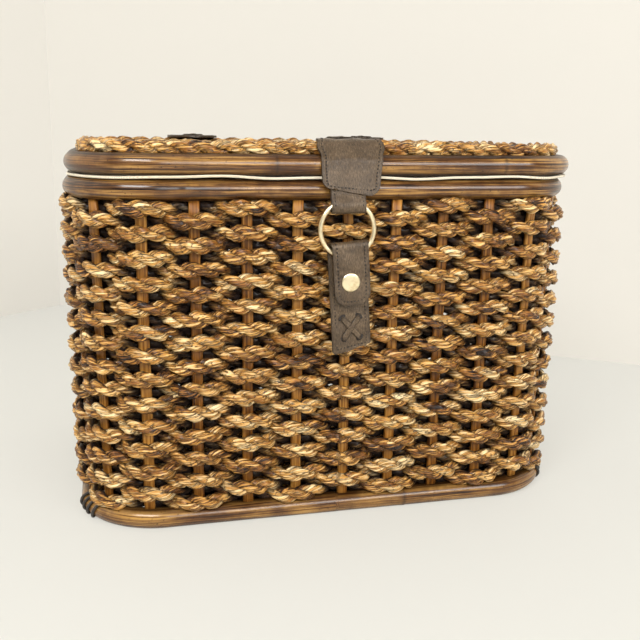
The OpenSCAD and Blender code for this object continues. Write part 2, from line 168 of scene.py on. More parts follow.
def circle(radius, sides, tall=1):
    turns = [fullTurn * i / sides for i in range(sides)]
    return [(radius * math.cos(a), tall * radius * math.sin(a)) for a in turns]


def readPoints(mesh):
    co = np.zeros(len(mesh.vertices) * 3)
    mesh.vertices.foreach_get("co", co)
    return co.reshape(-1, 3)


def clampPoints(mesh, axis, low, high=None):
    co = readPoints(mesh)
    co[:, axis] = np.clip(co[:, axis], low, high)
    mesh.vertices.foreach_set("co", co.ravel())


def addAttributes(mesh, flow, tone, paintedShade):
    mesh.attributes.new("flow", "FLOAT_VECTOR", "POINT").data.foreach_set("vector", flow.ravel())
    for label, values in (("tone", tone), ("paintedShade", paintedShade)):
        mesh.attributes.new(label, "FLOAT", "POINT").data.foreach_set("value", values.ravel())


# what a tube follows; an open one closes to a point at both ends
def newRun(points, s, start, tone, radius=None, closed=False, **more):
    radius = np.ones(len(points)) if radius is None else radius
    if not closed:
        radius[[0, -1]] = 0
    return {"points": points, "s": s, "start": start, "tone": tone, "radius": radius, "closed": closed, **more}


# how far a strand's surface turns to the rope's core or lies between the rows: painted shade, darkest where shade
# falls in the gaps
def creviceShade(co, centre, run):
    core = run["core"][:, None] - centre
    spoke = co - centre
    away = np.linalg.norm(spoke, axis=2)
    facing = (spoke * core).sum(2) / (away * np.linalg.norm(core, axis=2) + 1e-9)
    facing = np.clip((facing - 0.15) / 0.7, 0, 1)
    outward = run["outward"][:, None]
    if run["middle"] is None:
        return facing
    depth = ((co - run["middle"][:, None]) * outward).sum(2)
    depth = depth * np.clip(2.5 * (spoke * outward).sum(2) / away, -1, 1)
    return np.maximum(facing, 1 - np.clip((depth + 1 * mm) / (5.5 * mm), 0, 1))


def outlineCurve(name, points):
    data = bpy.data.curves.new(name, "CURVE")
    data.dimensions = "2D"
    spline = data.splines.new("POLY")
    spline.points.add(len(points) - 1)
    for point, (x, y) in zip(spline.points, points):
        point.co = (x, y, 0, 1)
    spline.use_cyclic_u = True
    return newObject(name, data)


def curveMesh(name, runs, outline, twist):
    shape = outlineCurve(name + "Outline", outline)
    data = bpy.data.curves.new(name, "CURVE")
    data.dimensions = "3D"
    data.twist_mode = twist
    data.bevel_mode = "OBJECT"
    data.bevel_object = shape
    for run in runs:
        count = len(run["points"])
        spline = data.splines.new("POLY")
        spline.points.add(count - 1)
        spline.points.foreach_set("co", np.c_[run["points"], np.ones(count)].ravel())
        spline.points.foreach_set("radius", run["radius"])
        spline.points.foreach_set("tilt", run.get("tilt", np.zeros(count)))
        spline.use_cyclic_u = run["closed"]
    holder = newObject(name + "Curve", data)
    bpy.context.view_layer.update()
    ready = holder.evaluated_get(bpy.context.evaluated_depsgraph_get())
    mesh = bpy.data.meshes.new_from_object(ready)
    mesh.name = name
    for used in (holder, shape):
        curve = used.data
        bpy.data.objects.remove(used)
        bpy.data.curves.remove(curve)
    return mesh


# tubes that follow their runs, made as bevelled curves and then turned into one mesh
def tubes(name, runs, outline, twist="Z_UP"):
    mesh = curveMesh(name, runs, outline, twist)
    angle = np.arctan2([p[1] for p in outline], [p[0] for p in outline])
    girth = math.hypot(*outline[1])
    co = readPoints(mesh).reshape(-1, len(outline), 3)
    flow = np.zeros_like(co)
    tone, paintedShade = np.zeros((2, *co.shape[:2]))
    first = 0
    for run in runs:
        rings = slice(first, first + len(run["points"]))
        first = rings.stop
        centre = np.asarray(run["points"])[:, None, :]
        if "relief" in run:
            co[rings] = centre + (co[rings] - centre) * run["relief"](angle)[:, :, None]
        if "core" in run:
            up = run["up"][:, None]
            co[rings] += ((co[rings] - centre) * up).sum(2, keepdims=True) * rope["tall"] * up
            # painted shade in the rope's crevices and between its rows
            paintedShade[rings] = creviceShade(co[rings], centre, run)
        # painted shade: a pole is darker towards its top and bottom edges
        if "stained" in run:
            high = np.abs(co[rings][:, :, 2] - centre[:, :, 2]) / girth
            paintedShade[rings] = run["stained"] * np.clip((high - 0.5) / 0.5, 0, 1) ** 1.3
        flow[rings, :, 0] = (run["s"] + run["start"])[:, None]
        flow[rings, :, 1] = girth * np.cos(angle) + run["start"]
        flow[rings, :, 2] = girth * np.sin(angle)
        given = np.asarray(run["tone"])
        tone[rings] = given[:, None] if given.ndim == 1 else given
    mesh.vertices.foreach_set("co", co.ravel())
    addAttributes(mesh, flow, tone, paintedShade)
    if any(not run["closed"] for run in runs):
        bm = bmesh.new()
        bm.from_mesh(mesh)
        bmesh.ops.remove_doubles(bm, verts=bm.verts, dist=1e-6)
        bm.to_mesh(mesh)
        bm.free()
    mesh.shade_smooth()
    return newObject(name, mesh)


def meshPiece(name, bm):
    mesh = bpy.data.meshes.new(name)
    bm.to_mesh(mesh)
    bm.free()
    mesh.shade_smooth()
    return newObject(name, mesh)


def finishPiece(made, material, slot, body=None, *nodes):
    made.data.materials.clear()
    made.data.materials.append(material)
    if body:
        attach(made, body)
    if nodes:
        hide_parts(*nodes)
    return made


# shared helpers for materials
def newMaterial(name, values):
    made = bpy.data.materials.new(name)
    made.use_nodes = True
    tree = made.node_tree
    shader = tree.nodes["Principled BSDF"]
    for key, value in values.items():
        shader.inputs[key].default_value = value
    return made, tree, shader


def setInput(tree, socket, value):
    if isinstance(value, bpy.types.NodeSocket):
        tree.links.new(value, socket)
    else:
        socket.default_value = value


def node(tree, kind, inputs=None, **settings):
    made = tree.nodes.new(kind)
    for key, value in settings.items():
        setattr(made, key, value)
    for key, value in (inputs or {}).items():
        setInput(tree, made.inputs[key], value)
    return made


def ramp(tree, factor, stops):
    made = node(tree, "ShaderNodeValToRGB", {"Fac": factor})
    marks = made.color_ramp.elements
    marks[0].position, marks[1].position = stops[0][0], stops[-1][0]
    marks[0].color, marks[1].color = (*stops[0][1], 1), (*stops[-1][1], 1)
    for spot, colour in stops[1:-1]:
        marks.new(spot).color = (*colour, 1)
    return made.outputs["Color"]


def mixColour(tree, factor, a, b, mode="MIX"):
    a, b = (c if isinstance(c, bpy.types.NodeSocket) else (*c, 1) for c in (a, b))
    return node(tree, "ShaderNodeMix", {0: factor, 6: a, 7: b}, data_type="RGBA", blend_type=mode).outputs[2]


def sums(tree, kind, a, b=0.0, c=0.0):
    return node(tree, "ShaderNodeMath", {0: a, 1: b, 2: c}, operation=kind).outputs[0]


def scaled(tree, value, factor, added=0.0):
    return sums(tree, "MULTIPLY_ADD", value, factor, added)


def attribute(tree, label):
    return node(tree, "ShaderNodeAttribute", attribute_name=label).outputs


def objectPlace(tree):
    return node(tree, "ShaderNodeTexCoord").outputs["Object"]


def noise(tree, vector, scale, detail, roughness=0.5, distortion=0.0):
    return node(tree, "ShaderNodeTexNoise", {"Vector": vector, "Scale": scale, "Detail": detail,
                                             "Roughness": roughness, "Distortion": distortion}).outputs["Fac"]


def stretched(tree, vector, scale):
    return node(tree, "ShaderNodeVectorMath", {0: vector, 1: scale}, operation="MULTIPLY").outputs[0]


def softStep(tree, value, low, high):
    return node(tree, "ShaderNodeMapRange", {"Value": value, "From Min": low, "From Max": high},
                interpolation_type="SMOOTHSTEP").outputs[0]


def newGroup(name, inputs, outputs):
    tree = bpy.data.node_groups.new(name, "ShaderNodeTree")
    for label, kind, value in inputs:
        socket = tree.interface.new_socket(label, in_out="INPUT", socket_type="NodeSocket" + kind)
        if kind == "Float":
            socket.default_value = value
    for label in outputs:
        tree.interface.new_socket(label, in_out="OUTPUT", socket_type="NodeSocketFloat")
    return tree, node(tree, "NodeGroupInput").outputs, node(tree, "NodeGroupOutput").inputs


# fibres that run along a strand, with dark cracks between them
def makeFibreGroup():
    tree, given, result = newGroup(
        "fibres", [("Vector", "Vector", 0), ("Along", "Float", 60), ("Across", "Float", 900),
                   ("Crack Width", "Float", 0.12)], ["Fibre", "Crack", "Height"])
    scale = node(tree, "ShaderNodeCombineXYZ", {0: given["Along"], 1: given["Across"], 2: given["Across"]})
    spot = stretched(tree, given["Vector"], scale.outputs[0])
    coarse = noise(tree, spot, 1, 3, 0.55, 0.5)
    fibre = scaled(tree, noise(tree, spot, 3.1, 2), 0.35, scaled(tree, coarse, 0.65))
    ridge = sums(tree, "ABSOLUTE", sums(tree, "SUBTRACT", coarse, 0.5))
    crack = sums(tree, "SUBTRACT", 1.0, softStep(tree, ridge, 0.0, given["Crack Width"]))
    tree.links.new(fibre, result["Fibre"])
    tree.links.new(crack, result["Crack"])
    tree.links.new(scaled(tree, crack, -0.5, fibre), result["Height"])
    return tree


# soft uneven patches, for age, dirt and polish worn by handling
def makePatchGroup():
    tree, given, result = newGroup(
        "patches", [("Vector", "Vector", 0), ("Scale", "Float", 20), ("Low", "Float", 0.4),
                    ("High", "Float", 0.65)], ["Patch"])
    spots = noise(tree, given["Vector"], given["Scale"], 4, 0.6)
    tree.links.new(softStep(tree, spots, given["Low"], given["High"]), result["Patch"])
    return tree


fibreGroup = makeFibreGroup()
patchGroup = makePatchGroup()


def patches(tree, vector, scale, low, high):
    return node(tree, "ShaderNodeGroup", {"Vector": vector, "Scale": scale, "Low": low, "High": high},
                node_tree=patchGroup).outputs["Patch"]


def fibres(tree, along, across, crack):
    return node(tree, "ShaderNodeGroup", {"Vector": attribute(tree, "flow")["Vector"], "Along": along,
                                          "Across": across, "Crack Width": crack}, node_tree=fibreGroup).outputs


def finishSurface(tree, shader, colour, height, finish):
    made = node(tree, "ShaderNodeBump", {"Height": height, "Strength": finish["bump"],
                                         "Distance": finish["depth"]})
    tree.links.new(made.outputs[0], shader.inputs["Normal"])
    tree.links.new(colour, shader.inputs["Base Color"])


# one share below sets how dark the painted shade in the rope's crevices and between rows is
ropeFinish = {"shader": {"Coat Weight": 0.2, "Coat Roughness": 0.2, "Specular IOR Level": 0.3},
              "ramp": [(0.33, (0.01, 0.003, 0.001)), (0.43, (0.27, 0.1, 0.015)), (0.55, (0.68, 0.36, 0.085)),
                       (0.7, (0.97, 0.76, 0.42))],
              "dark": (0.01, 0.003, 0.001), "faded": (0.62, 0.5, 0.4), "fibres": (80, 620, 0.05),
              "worn": (26, 0.42, 0.7), "wornShare": 0.4, "holes": (300, 0.6, 0.66), "holeShare": 0.7,
              "toneShare": 0.3, "shift": -0.13, "crackShare": 0.85, "shadeShare": 0.97, "creases": 380,
              "creaseHigh": 0.55, "bump": 1.0, "depth": 1.1 * mm, "roughness": 0.32, "dullInside": 0.4}


def makeRopeMaterial():
    look = ropeFinish
    mat, tree, shader = newMaterial("rope", look["shader"])
    spot = objectPlace(tree)
    paintedShade = attribute(tree, "paintedShade")["Fac"]
    strands = fibres(tree, *look["fibres"])
    shift = sums(tree, "ADD", strands["Fibre"], look["shift"])
    colour = ramp(tree, scaled(tree, attribute(tree, "tone")["Fac"], look["toneShare"], shift), look["ramp"])
    worn = scaled(tree, patches(tree, spot, *look["worn"]), look["wornShare"])
    colour = mixColour(tree, worn, colour, look["faded"], "MULTIPLY")
    colour = mixColour(tree, scaled(tree, strands["Crack"], look["crackShare"]), colour, look["dark"])
    holes = patches(tree, spot, *look["holes"])
    # painted shade in the rope's crevices and between rows, together with random dark holes, turns the colour near
    # black
    shadeAndHoles = sums(tree, "MAXIMUM", scaled(tree, paintedShade, look["shadeShare"]), scaled(tree, holes, look["holeShare"]))
    colour = mixColour(tree, shadeAndHoles, colour, look["dark"])
    tree.links.new(scaled(tree, paintedShade, look["dullInside"], look["roughness"]), shader.inputs["Roughness"])
    folds = node(tree, "ShaderNodeTexVoronoi", {"Vector": spot, "Scale": look["creases"]}, feature="F2")
    height = scaled(tree, folds.outputs["Distance"], look["creaseHigh"], strands["Height"])
    finishSurface(tree, shader, colour, scaled(tree, holes, -0.5, height), look)
    return mat


poleFinish = {"shader": {"Roughness": 0.4, "Coat Roughness": 0.19, "Specular IOR Level": 0.12}, "coat": 0.75,
              "ramp": [(0.38, (0.012, 0.004, 0.001)), (0.48, (0.14, 0.056, 0.012)), (0.61, (0.42, 0.23, 0.06))],
              "dark": (0.012, 0.004, 0.001), "aged": (0.3, 0.2, 0.15), "fibres": (11, 620, 0.035),
              "mottle": (24, 0.4, 0.62), "mottleShare": 0.8, "scuffs": (420, 0.6, 0.7), "scuffShare": 0.6,
              "crackShare": 0.45, "bump": 0.4, "depth": 0.25 * mm}


def makePoleMaterial(name, lift):
    look = poleFinish
    mat, tree, shader = newMaterial(name, look["shader"])
    spot = objectPlace(tree)
    knot = attribute(tree, "tone")["Fac"]
    stain = attribute(tree, "paintedShade")["Fac"]
    grain = fibres(tree, *look["fibres"])
    colour = ramp(tree, sums(tree, "ADD", grain["Fibre"], lift), look["ramp"])
    mottle = scaled(tree, patches(tree, spot, *look["mottle"]), look["mottleShare"])
    colour = mixColour(tree, mottle, colour, look["aged"], "MULTIPLY")
    scuffs = scaled(tree, patches(tree, spot, *look["scuffs"]), look["scuffShare"])
    colour = mixColour(tree, scuffs, colour, look["dark"])
    lines = sums(tree, "MAXIMUM", scaled(tree, grain["Crack"], look["crackShare"]), knot)
    # painted shade darkens the pole's top and bottom edges, and the coat is thinned there too
    colour = mixColour(tree, sums(tree, "MAXIMUM", lines, stain), colour, look["dark"])
    tree.links.new(scaled(tree, stain, -look["coat"], look["coat"]), shader.inputs["Coat Weight"])
    finishSurface(tree, shader, colour, scaled(tree, knot, -0.6, grain["Height"]), look)
    return mat


splintFinish = {"shader": {"Roughness": 0.38, "Specular IOR Level": 0.3}, "fibres": (14, 600, 0.03),
                "ramp": [(0.32, (0.035, 0.009, 0.002)), (0.5, (0.22, 0.08, 0.01)), (0.7, (0.5, 0.24, 0.05))],
                "toneShare": 0.16, "shift": -0.08, "bump": 0.4, "depth": 0.2 * mm}


def makeSplintMaterial():
    look = splintFinish
    mat, tree, shader = newMaterial("splint", look["shader"])
    grain = fibres(tree, *look["fibres"])
    shift = sums(tree, "ADD", grain["Fibre"], look["shift"])
    colour = ramp(tree, scaled(tree, attribute(tree, "tone")["Fac"], look["toneShare"], shift), look["ramp"])
    finishSurface(tree, shader, colour, grain["Height"], look)
    return mat


leatherFinish = {"shader": {"Roughness": 0.4, "Specular IOR Level": 0.38}, "deep": (0.018, 0.011, 0.006),
                 "ramp": [(0.24, (0.018, 0.011, 0.006)), (0.54, (0.078, 0.05, 0.026)),
                          (0.86, (0.19, 0.135, 0.08))],
                 "grain": 1300, "brush": (1500, 330, 900), "nap": (1, 4, 0.6), "napHigh": 1.2,
                 "broad": (60, 0.35, 0.7), "broadShare": 0.16, "shift": -0.05, "bump": 0.6, "depth": 0.3 * mm}


def makeLeatherMaterial(name, lift):
    look = leatherFinish
    mat, tree, shader = newMaterial(name, look["shader"])
    flow = attribute(tree, "flow")["Vector"]
    grain = node(tree, "ShaderNodeTexVoronoi", {"Vector": flow, "Scale": look["grain"]}).outputs["Distance"]
    nap = noise(tree, stretched(tree, flow, look["brush"]), *look["nap"])
    shift = sums(tree, "ADD", nap, lift + look["shift"])
    colour = ramp(tree, scaled(tree, patches(tree, flow, *look["broad"]), look["broadShare"], shift), look["ramp"])
    colour = mixColour(tree, attribute(tree, "tone")["Fac"], colour, look["deep"])
    finishSurface(tree, shader, colour, scaled(tree, nap, look["napHigh"], grain), look)
    return mat


threadFinish = {"ramp": [(0.35, (0.006, 0.004, 0.003)), (0.7, (0.025, 0.017, 0.011))], "twist": (1400, 2),
                "bump": 0.4, "depth": 0.1 * mm}
cordFinish = {"ramp": [(0.35, (0.006, 0.005, 0.004)), (0.65, (0.045, 0.034, 0.026))],
              "fibres": (500, 1500, 0.05), "bump": 0.5, "depth": 0.2 * mm}


def makeThreadMaterial():
    mat, tree, shader = newMaterial("thread", {"Roughness": 0.7})
    twist = noise(tree, objectPlace(tree), *threadFinish["twist"])
    finishSurface(tree, shader, ramp(tree, twist, threadFinish["ramp"]), twist, threadFinish)
    return mat


def makeCordMaterial():
    mat, tree, shader = newMaterial("waxedCord", {"Roughness": 0.45})
    lay = fibres(tree, *cordFinish["fibres"])
    finishSurface(tree, shader, ramp(tree, lay["Fibre"], cordFinish["ramp"]), lay["Height"], cordFinish)
    return mat


clothFinish = {"shader": {"Roughness": 0.85, "Sheen Weight": 0.1}, "weave": 420, "uneven": 0.6,
               "ramp": [(0.0, (0.55, 0.49, 0.37)), (0.5, (0.8, 0.75, 0.62))], "soil": (14, 0.4, 0.75),
               "soilShare": 0.35, "soiled": (0.8, 0.7, 0.52), "bump": 0.3, "depth": 0.2 * mm}


def makeClothMaterial():
    look = clothFinish
    mat, tree, shader = newMaterial("liningCloth", look["shader"])
    spot = objectPlace(tree)
    warp, weft = (node(tree, "ShaderNodeTexWave", {"Vector": spot, "Scale": look["weave"],
                                                   "Distortion": look["uneven"], "Detail": 1},
                       bands_direction=way).outputs["Fac"] for way in "XY")
    threads = sums(tree, "MULTIPLY", warp, weft)
    soil = scaled(tree, patches(tree, spot, *look["soil"]), look["soilShare"])
    colour = mixColour(tree, soil, ramp(tree, threads, look["ramp"]), look["soiled"], "MULTIPLY")
    finishSurface(tree, shader, colour, threads, look)
    return mat


brassFinish = {"bright": (0.85, 0.74, 0.5), "dull": (0.64, 0.5, 0.28), "roughness": 0.29, "dulled": 0.14,
               "tarnish": (180, 0.45, 0.75), "scuffs": (900, 3), "bump": 0.06, "depth": 0.1 * mm}


def makeBrassMaterial():
    look = brassFinish
    mat, tree, shader = newMaterial("paleBrass", {"Metallic": 1.0})
    spot = objectPlace(tree)
    tarnish = patches(tree, spot, *look["tarnish"])
    tree.links.new(scaled(tree, tarnish, look["dulled"], look["roughness"]), shader.inputs["Roughness"])
    colour = mixColour(tree, tarnish, look["bright"], look["dull"])
    finishSurface(tree, shader, colour, noise(tree, spot, *look["scuffs"]), look)
    return mat


ropeMaterial = makeRopeMaterial()
darkPole = makePoleMaterial("rattanPole", 0.0)
palePole = makePoleMaterial("wornRattanPole", 0.05)
splintMaterial = makeSplintMaterial()
leatherMaterial = makeLeatherMaterial("leather", 0.0)
laceMaterial = makeLeatherMaterial("laceLeather", 0.03)
threadMaterial = makeThreadMaterial()
cordMaterial = makeCordMaterial()
clothMaterial = makeClothMaterial()
brassMaterial = makeBrassMaterial()
print("materials made")

# rope: two strands, each of five twisted blades of dried leaf
rope = {"strandR": 3.3 * mm, "off": 2.3 * mm, "lay": 30 * mm, "step": 2.3 * mm, "sides": 15, "lobes": 5,
        "groove": 0.78, "spin": 38 * mm, "flatten": 0.74, "tall": 0.12, "ragged": 0.05, "wander": 0.3,
        "uneven": 0.07, "taper": 2 * mm, "toneSpread": 0.34, "swell": 0.08}
perLobe = rope["sides"] // rope["lobes"]
ropeOutline = [(x * r, y * r) for i, (x, y) in enumerate(circle(rope["strandR"], rope["sides"]))
               for r in [1 if i % perLobe else rope["groove"]]]


def bladeRelief(s, length, rng):
    turns = [(fullTurn * cycles(length, wave * mm) * s / length)[:, None] for wave in (19, 8.5)]
    starts = rng.uniform(0, fullTurn, 2)
    ragged = rng.normal(0, rope["ragged"], (len(s), rope["sides"]))
    ragged = (ragged + np.roll(ragged, 1, 0)) * 0.7

    def relief(angle):
        broad = np.sin(2 * angle[None] + turns[0] + starts[0])
        fine = np.sin(5 * angle[None] - turns[1] + starts[1])
        return 1 + 0.06 * broad + 0.05 * fine + ragged
    return relief


def ropeRuns(centre, outward, closed, rng, swell, middle=None):
    following = np.roll(centre, -1, 0)
    ahead = unit(following - np.roll(centre, 1, 0) if closed else np.gradient(centre, axis=0))
    gaps = np.linalg.norm(following - centre, axis=1)
    length = gaps.sum() if closed else gaps[:-1].sum()
    s = np.concatenate([[0], np.cumsum(gaps[:-1])])
    side = unit(outward - (outward * ahead).sum(1, keepdims=True) * ahead)
    up = np.cross(side, ahead)
    phase = rng.uniform(0, fullTurn)
    wander = rope["wander"] * ripple(s, rng, [90, 210], length)
    runs = []
    for strand in (0, 1):
        lay = fullTurn * cycles(length, rope["lay"]) * s / length
        turn = (phase + strand * math.pi + wander - lay)[:, None]
        off = rope["off"] * np.reshape(swell, (-1, 1))
        path = centre + off * (rope["flatten"] * np.cos(turn) * side + np.sin(turn) * up)
        radius = swell * (1 + rope["uneven"] * ripple(s, rng, [11, 24, 65], length))
        if not closed:
            radius = radius * np.clip(np.minimum(s, length - s) / rope["taper"], 0, 1) ** 0.5
        blade = np.repeat(rng.uniform(-1, 1, rope["lobes"]), perLobe)
        slow = 0.5 + 0.2 * rng.uniform(-1, 1) + 0.17 * ripple(s, rng, [45, 120], length)
        faded = 0.5 + 0.5 * ripple(s, rng, [35, 80, 200], length)
        tone = slow[:, None] + rope["toneSpread"] * faded[:, None] * blade[None]
        start = rng.uniform(0, 9)
        tilt = rng.uniform(0, fullTurn) - fullTurn * cycles(length, rope["spin"]) * s / length
        runs.append(newRun(path, s, start, tone, radius, closed, tilt=tilt, relief=bladeRelief(s, length, rng),
                           core=centre, up=up, outward=outward, middle=middle))
    return runs


def wavyOffset(phase, high):
    return -high * np.tanh(1.3 * np.cos(math.pi * phase)) / math.tanh(1.3)


def wovenSwell(least, phase):
    return least + rope["swell"] * np.abs(np.cos(math.pi * phase))


def makeRopePieces(name, rows, pieces, body, replaced, limit=None):
    share = math.ceil(len(rows) / pieces)
    for i in range(pieces):
        made = tubes(f"{name}Rope{i + 1}", sum(rows[i * share:(i + 1) * share], []), ropeOutline)
        if limit:
            clampPoints(made.data, 0, -limit, limit)
        finishPiece(made, ropeMaterial, "rope", body, replaced)


wall = {"rows": 26, "stakes": 32, "firstStake": 3.6 * mm, "wave": 6.2 * mm, "drift": 0.45 * mm, "pieces": 5,
        "least": 0.95, "seed": 5}
wallLength, wallMarks = loopMarks(rimR, rope["step"])
stakePitch = wallLength / wall["stakes"]


def wallRadius(z):
    return baseR + (rimR - baseR) * (z - baseZ) / (rimZ - baseZ)


def wallRow(k, rng):
    z = wallFoot + (k + 0.5) * wallTall / wall["rows"]
    phase = (wallMarks - wall["firstStake"]) / stakePitch + k
    high = wall["wave"] * (1 + 0.05 * ripple(wallMarks, rng, [83, 190], wallLength))
    centre, outward = roundLoop(wallMarks, wallRadius(z) + wavyOffset(phase, high), rimR)
    centre[:, 2] = z + wall["drift"] * ripple(wallMarks, rng, [60, 140, 400], wallLength)
    middle = roundLoop(wallMarks, wallRadius(z), rimR)[0]
    return ropeRuns(centre, outward, True, rng, wovenSwell(wall["least"], phase), middle)


def makeWallRope():
    rng = np.random.default_rng(wall["seed"])
    rows = [wallRow(k, rng) for k in range(wall["rows"])]
    makeRopePieces("wall", rows, wall["pieces"], "basket", "wall_weave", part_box("wall_weave")[1].x)


makeWallRope()
print("wall rope made")

# flat panels of rope in the lid and the base
panels = {
    "lid": {"rows": 27, "ribs": 10, "ribW": 9 * mm, "seed": 11, "ribSeed": 51, "reachIn": 2 * mm, "body": "lid"},
    "base": {"rows": 25, "ribs": 10, "ribW": 9 * mm, "seed": 12, "ribSeed": 52, "reachIn": 0, "body": "basket"}}
panel = {"wave": 6 * mm, "drift": 0.3 * mm, "pieces": 2, "least": 0.93}


def measurePanel(name, spec):
    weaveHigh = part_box(name + "_weave")[1]
    ribLow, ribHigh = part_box(name + "_ribs")
    middle = (ribLow.x + ribHigh.x) / 2
    pitch = (ribHigh.x - ribLow.x - spec["ribW"]) / (spec["ribs"] - 1)
    radius = weaveHigh.x - middle - cornerX
    spec.update(x=middle, z=(ribLow.z + ribHigh.z) / 2, radius=radius, pitch=pitch,
                rowPitch=2 * (cornerY + radius) / spec["rows"], ribRadius=ribHigh.y - cornerY,
                firstRib=middle - pitch * (spec["ribs"] - 1) / 2)


def reach(across, long, short, radius):
    return long + math.sqrt(max(0, radius ** 2 - max(0, across - short) ** 2))


def makePanelRope(name, spec):
    rng = np.random.default_rng(spec["seed"])
    rows = []
    for j in range(spec["rows"]):
        y = (j - (spec["rows"] - 1) / 2) * spec["rowPitch"]
        end = reach(abs(y) + spec["rowPitch"] / 2, cornerX, cornerY, spec["radius"]) + spec["reachIn"]
        x = np.linspace(-end, end, round(2 * end / rope["step"])) + spec["x"]
        phase = (x - spec["firstRib"]) / spec["pitch"] + j
        drift = panel["drift"] * ripple(x + end, rng, [70, 160], 2 * end)
        outward = np.tile([0.0, 0.0, 1.0], (len(x), 1))
        centre = np.stack([x, y + drift, spec["z"] + wavyOffset(phase, panel["wave"])], 1)
        middle = np.stack([x, y + 0 * x, spec["z"] + 0 * x], 1)
        rows.append(ropeRuns(centre, outward, False, rng, wovenSwell(panel["least"], phase), middle))
    makeRopePieces(name, rows, panel["pieces"], spec["body"], name + "_weave")


for name, spec in panels.items():
    measurePanel(name, spec)
    makePanelRope(name, spec)

border = {"step": 2 * mm, "sink": 0.5 * mm, "drift": 0.5 * mm, "swell": 0.97, "seed": 21}


def makeBorder():
    rng = np.random.default_rng(border["seed"])
    length, s = loopMarks(borderR, border["step"])
    centre, outward = roundLoop(s, borderR, borderR)
    centre[:, 0] += lidX
    centre[:, 2] = borderZ - border["sink"] + border["drift"] * ripple(s, rng, [50, 130], length)
    made = tubes("lidBorderRope", ropeRuns(centre, outward, True, rng, border["swell"] + 0 * s), ropeOutline)
    finishPiece(made, ropeMaterial, "rope", "lid", "lid_border")


makeBorder()
print("lid and base rope made")

# bent rattan poles
poles = {
    "lidPole": {"node": "lid_pole", "body": "lid", "radius": lidR, "z": lidZ, "x": lidX, "finish": darkPole,
                "knots": (-53, 118, 420, 640, 905), "seed": 31},
    "rimPole": {"node": "rim_pole", "body": "basket", "radius": rimR, "z": rimZ, "x": 0, "finish": darkPole,
                "knots": (-111, 262, 520, 800), "seed": 32},
    "basePole": {"node": "base_pole", "body": "basket", "radius": baseR, "z": baseZ, "x": 0,
                 "finish": palePole, "knots": (52, 330, 610, 890), "seed": 33}}
# the last value sets the painted shade along the top and bottom of each pole
poleShape = {"sides": 26, "step": 2.5 * mm, "knotHigh": 0.055, "knotWide": 2.6 * mm, "line": 0.9 * mm,
             "uneven": 0.006, "fit": 0.992, "stained": 0.85}


def makePole(name, spec):
    rng = np.random.default_rng(spec["seed"])
    length, s = loopMarks(spec["radius"], poleShape["step"])
    centre = roundLoop(s, spec["radius"], spec["radius"])[0]
    centre[:, 0] += spec["x"]
    centre[:, 2] = spec["z"]
    radius = 1 + poleShape["uneven"] * ripple(s, rng, [40, 95, 300], length)
    dark = 0 * s
    for knot in spec["knots"]:
        away = np.abs(np.mod(s - knot * mm + length / 2, length) - length / 2)
        radius = radius + poleShape["knotHigh"] * np.exp(-(away / poleShape["knotWide"]) ** 2)
        dark = np.maximum(dark, np.exp(-(away / poleShape["line"]) ** 2))
    starts = rng.uniform(0, fullTurn, 3)

    def relief(angle):
        facet = np.sin(4 * angle[None] + starts[0]) + 0.6 * np.sin(7 * angle[None] + starts[1])
        slow = np.sin(s[:, None] * 40 + 2 * angle[None] + starts[2])
        return 1 + poleShape["uneven"] * facet + 0.004 * slow
    run = newRun(centre, s, rng.uniform(0, 9), dark, radius, True, relief=relief, stained=poleShape["stained"])
    made = tubes(name, [run], circle(poleR * poleShape["fit"], poleShape["sides"]))
    clampPoints(made.data, 2, 0)
    finishPiece(made, spec["finish"], "rattan_pole", spec["body"], spec["node"])


for name, spec in poles.items():
    makePole(name, spec)
print("poles made")

# flat split-rattan stakes and ribs
splint = {"w": 7.8 * mm, "t": 2.8 * mm, "cell": 12 * mm, "round": 1.1 * mm, "crown": 0.5 * mm,
          "sway": 0.45 * mm, "past": 3 * mm, "seed": 41}


def newSplintMesh():
    bm = bmesh.new()
    return bm, bm.verts.layers.float_vector.new("flow"), bm.verts.layers.float.new("tone")


def uprightEdges(bm, length):
    return [e for e in bm.edges if abs(e.verts[0].co.z - e.verts[1].co.z) > length / 2]


def addSplint(whole, length, matrix, rng):
    tone = rng.uniform(0, 1)
    bm, flowLayer, toneLayer = newSplintMesh()
    made = bmesh.ops.create_cube(bm, size=1)["verts"]
    bmesh.ops.scale(bm, vec=(splint["w"], splint["t"], length), verts=made)
    bmesh.ops.bevel(bm, geom=uprightEdges(bm, length), offset=splint["round"], segments=3, profile=0.5,
                    affect="EDGES", material=-1)
    bmesh.ops.subdivide_edges(bm, edges=uprightEdges(bm, length), cuts=cycles(length, splint["cell"]))
    start = rng.uniform(0, 9)
    phase = rng.uniform(0, fullTurn, 2)
    for v in bm.verts:
        v[flowLayer] = (v.co.z + start, v.co.x + start, v.co.y)
        v[toneLayer] = tone
        domed = math.copysign(splint["crown"], v.co.y) * (1 - (2 * v.co.x / splint["w"]) ** 2)
        v.co.y += splint["sway"] * math.sin(v.co.z * 183 + phase[0]) + domed
        v.co.x += splint["sway"] * 0.6 * math.sin(v.co.z * 40 + phase[1])
        v.co = matrix @ v.co
    single = bpy.data.meshes.new("splint")
    bm.to_mesh(single)
    bm.free()
    whole.from_mesh(single)
    bpy.data.meshes.remove(single)


def makeStakes():
    rng = np.random.default_rng(splint["seed"])
    bm = newSplintMesh()[0]
    lean = turned(math.atan((rimR - baseR) / (rimZ - baseZ)), "X")
    z = wallFoot + wallTall / 2
    for i in range(wall["stakes"]):
        spots, outward = roundLoop(np.array([wall["firstStake"] + i * stakePitch]), wallRadius(z), rimR)
        facing = turned(math.atan2(outward[0][0], -outward[0][1]), "Z")
        addSplint(bm, wallTall + splint["past"], moved(spots[0][0], spots[0][1], z) @ facing @ lean, rng)
    finishPiece(meshPiece("wallStakes", bm), splintMaterial, "splint", "basket", "wall_stakes")


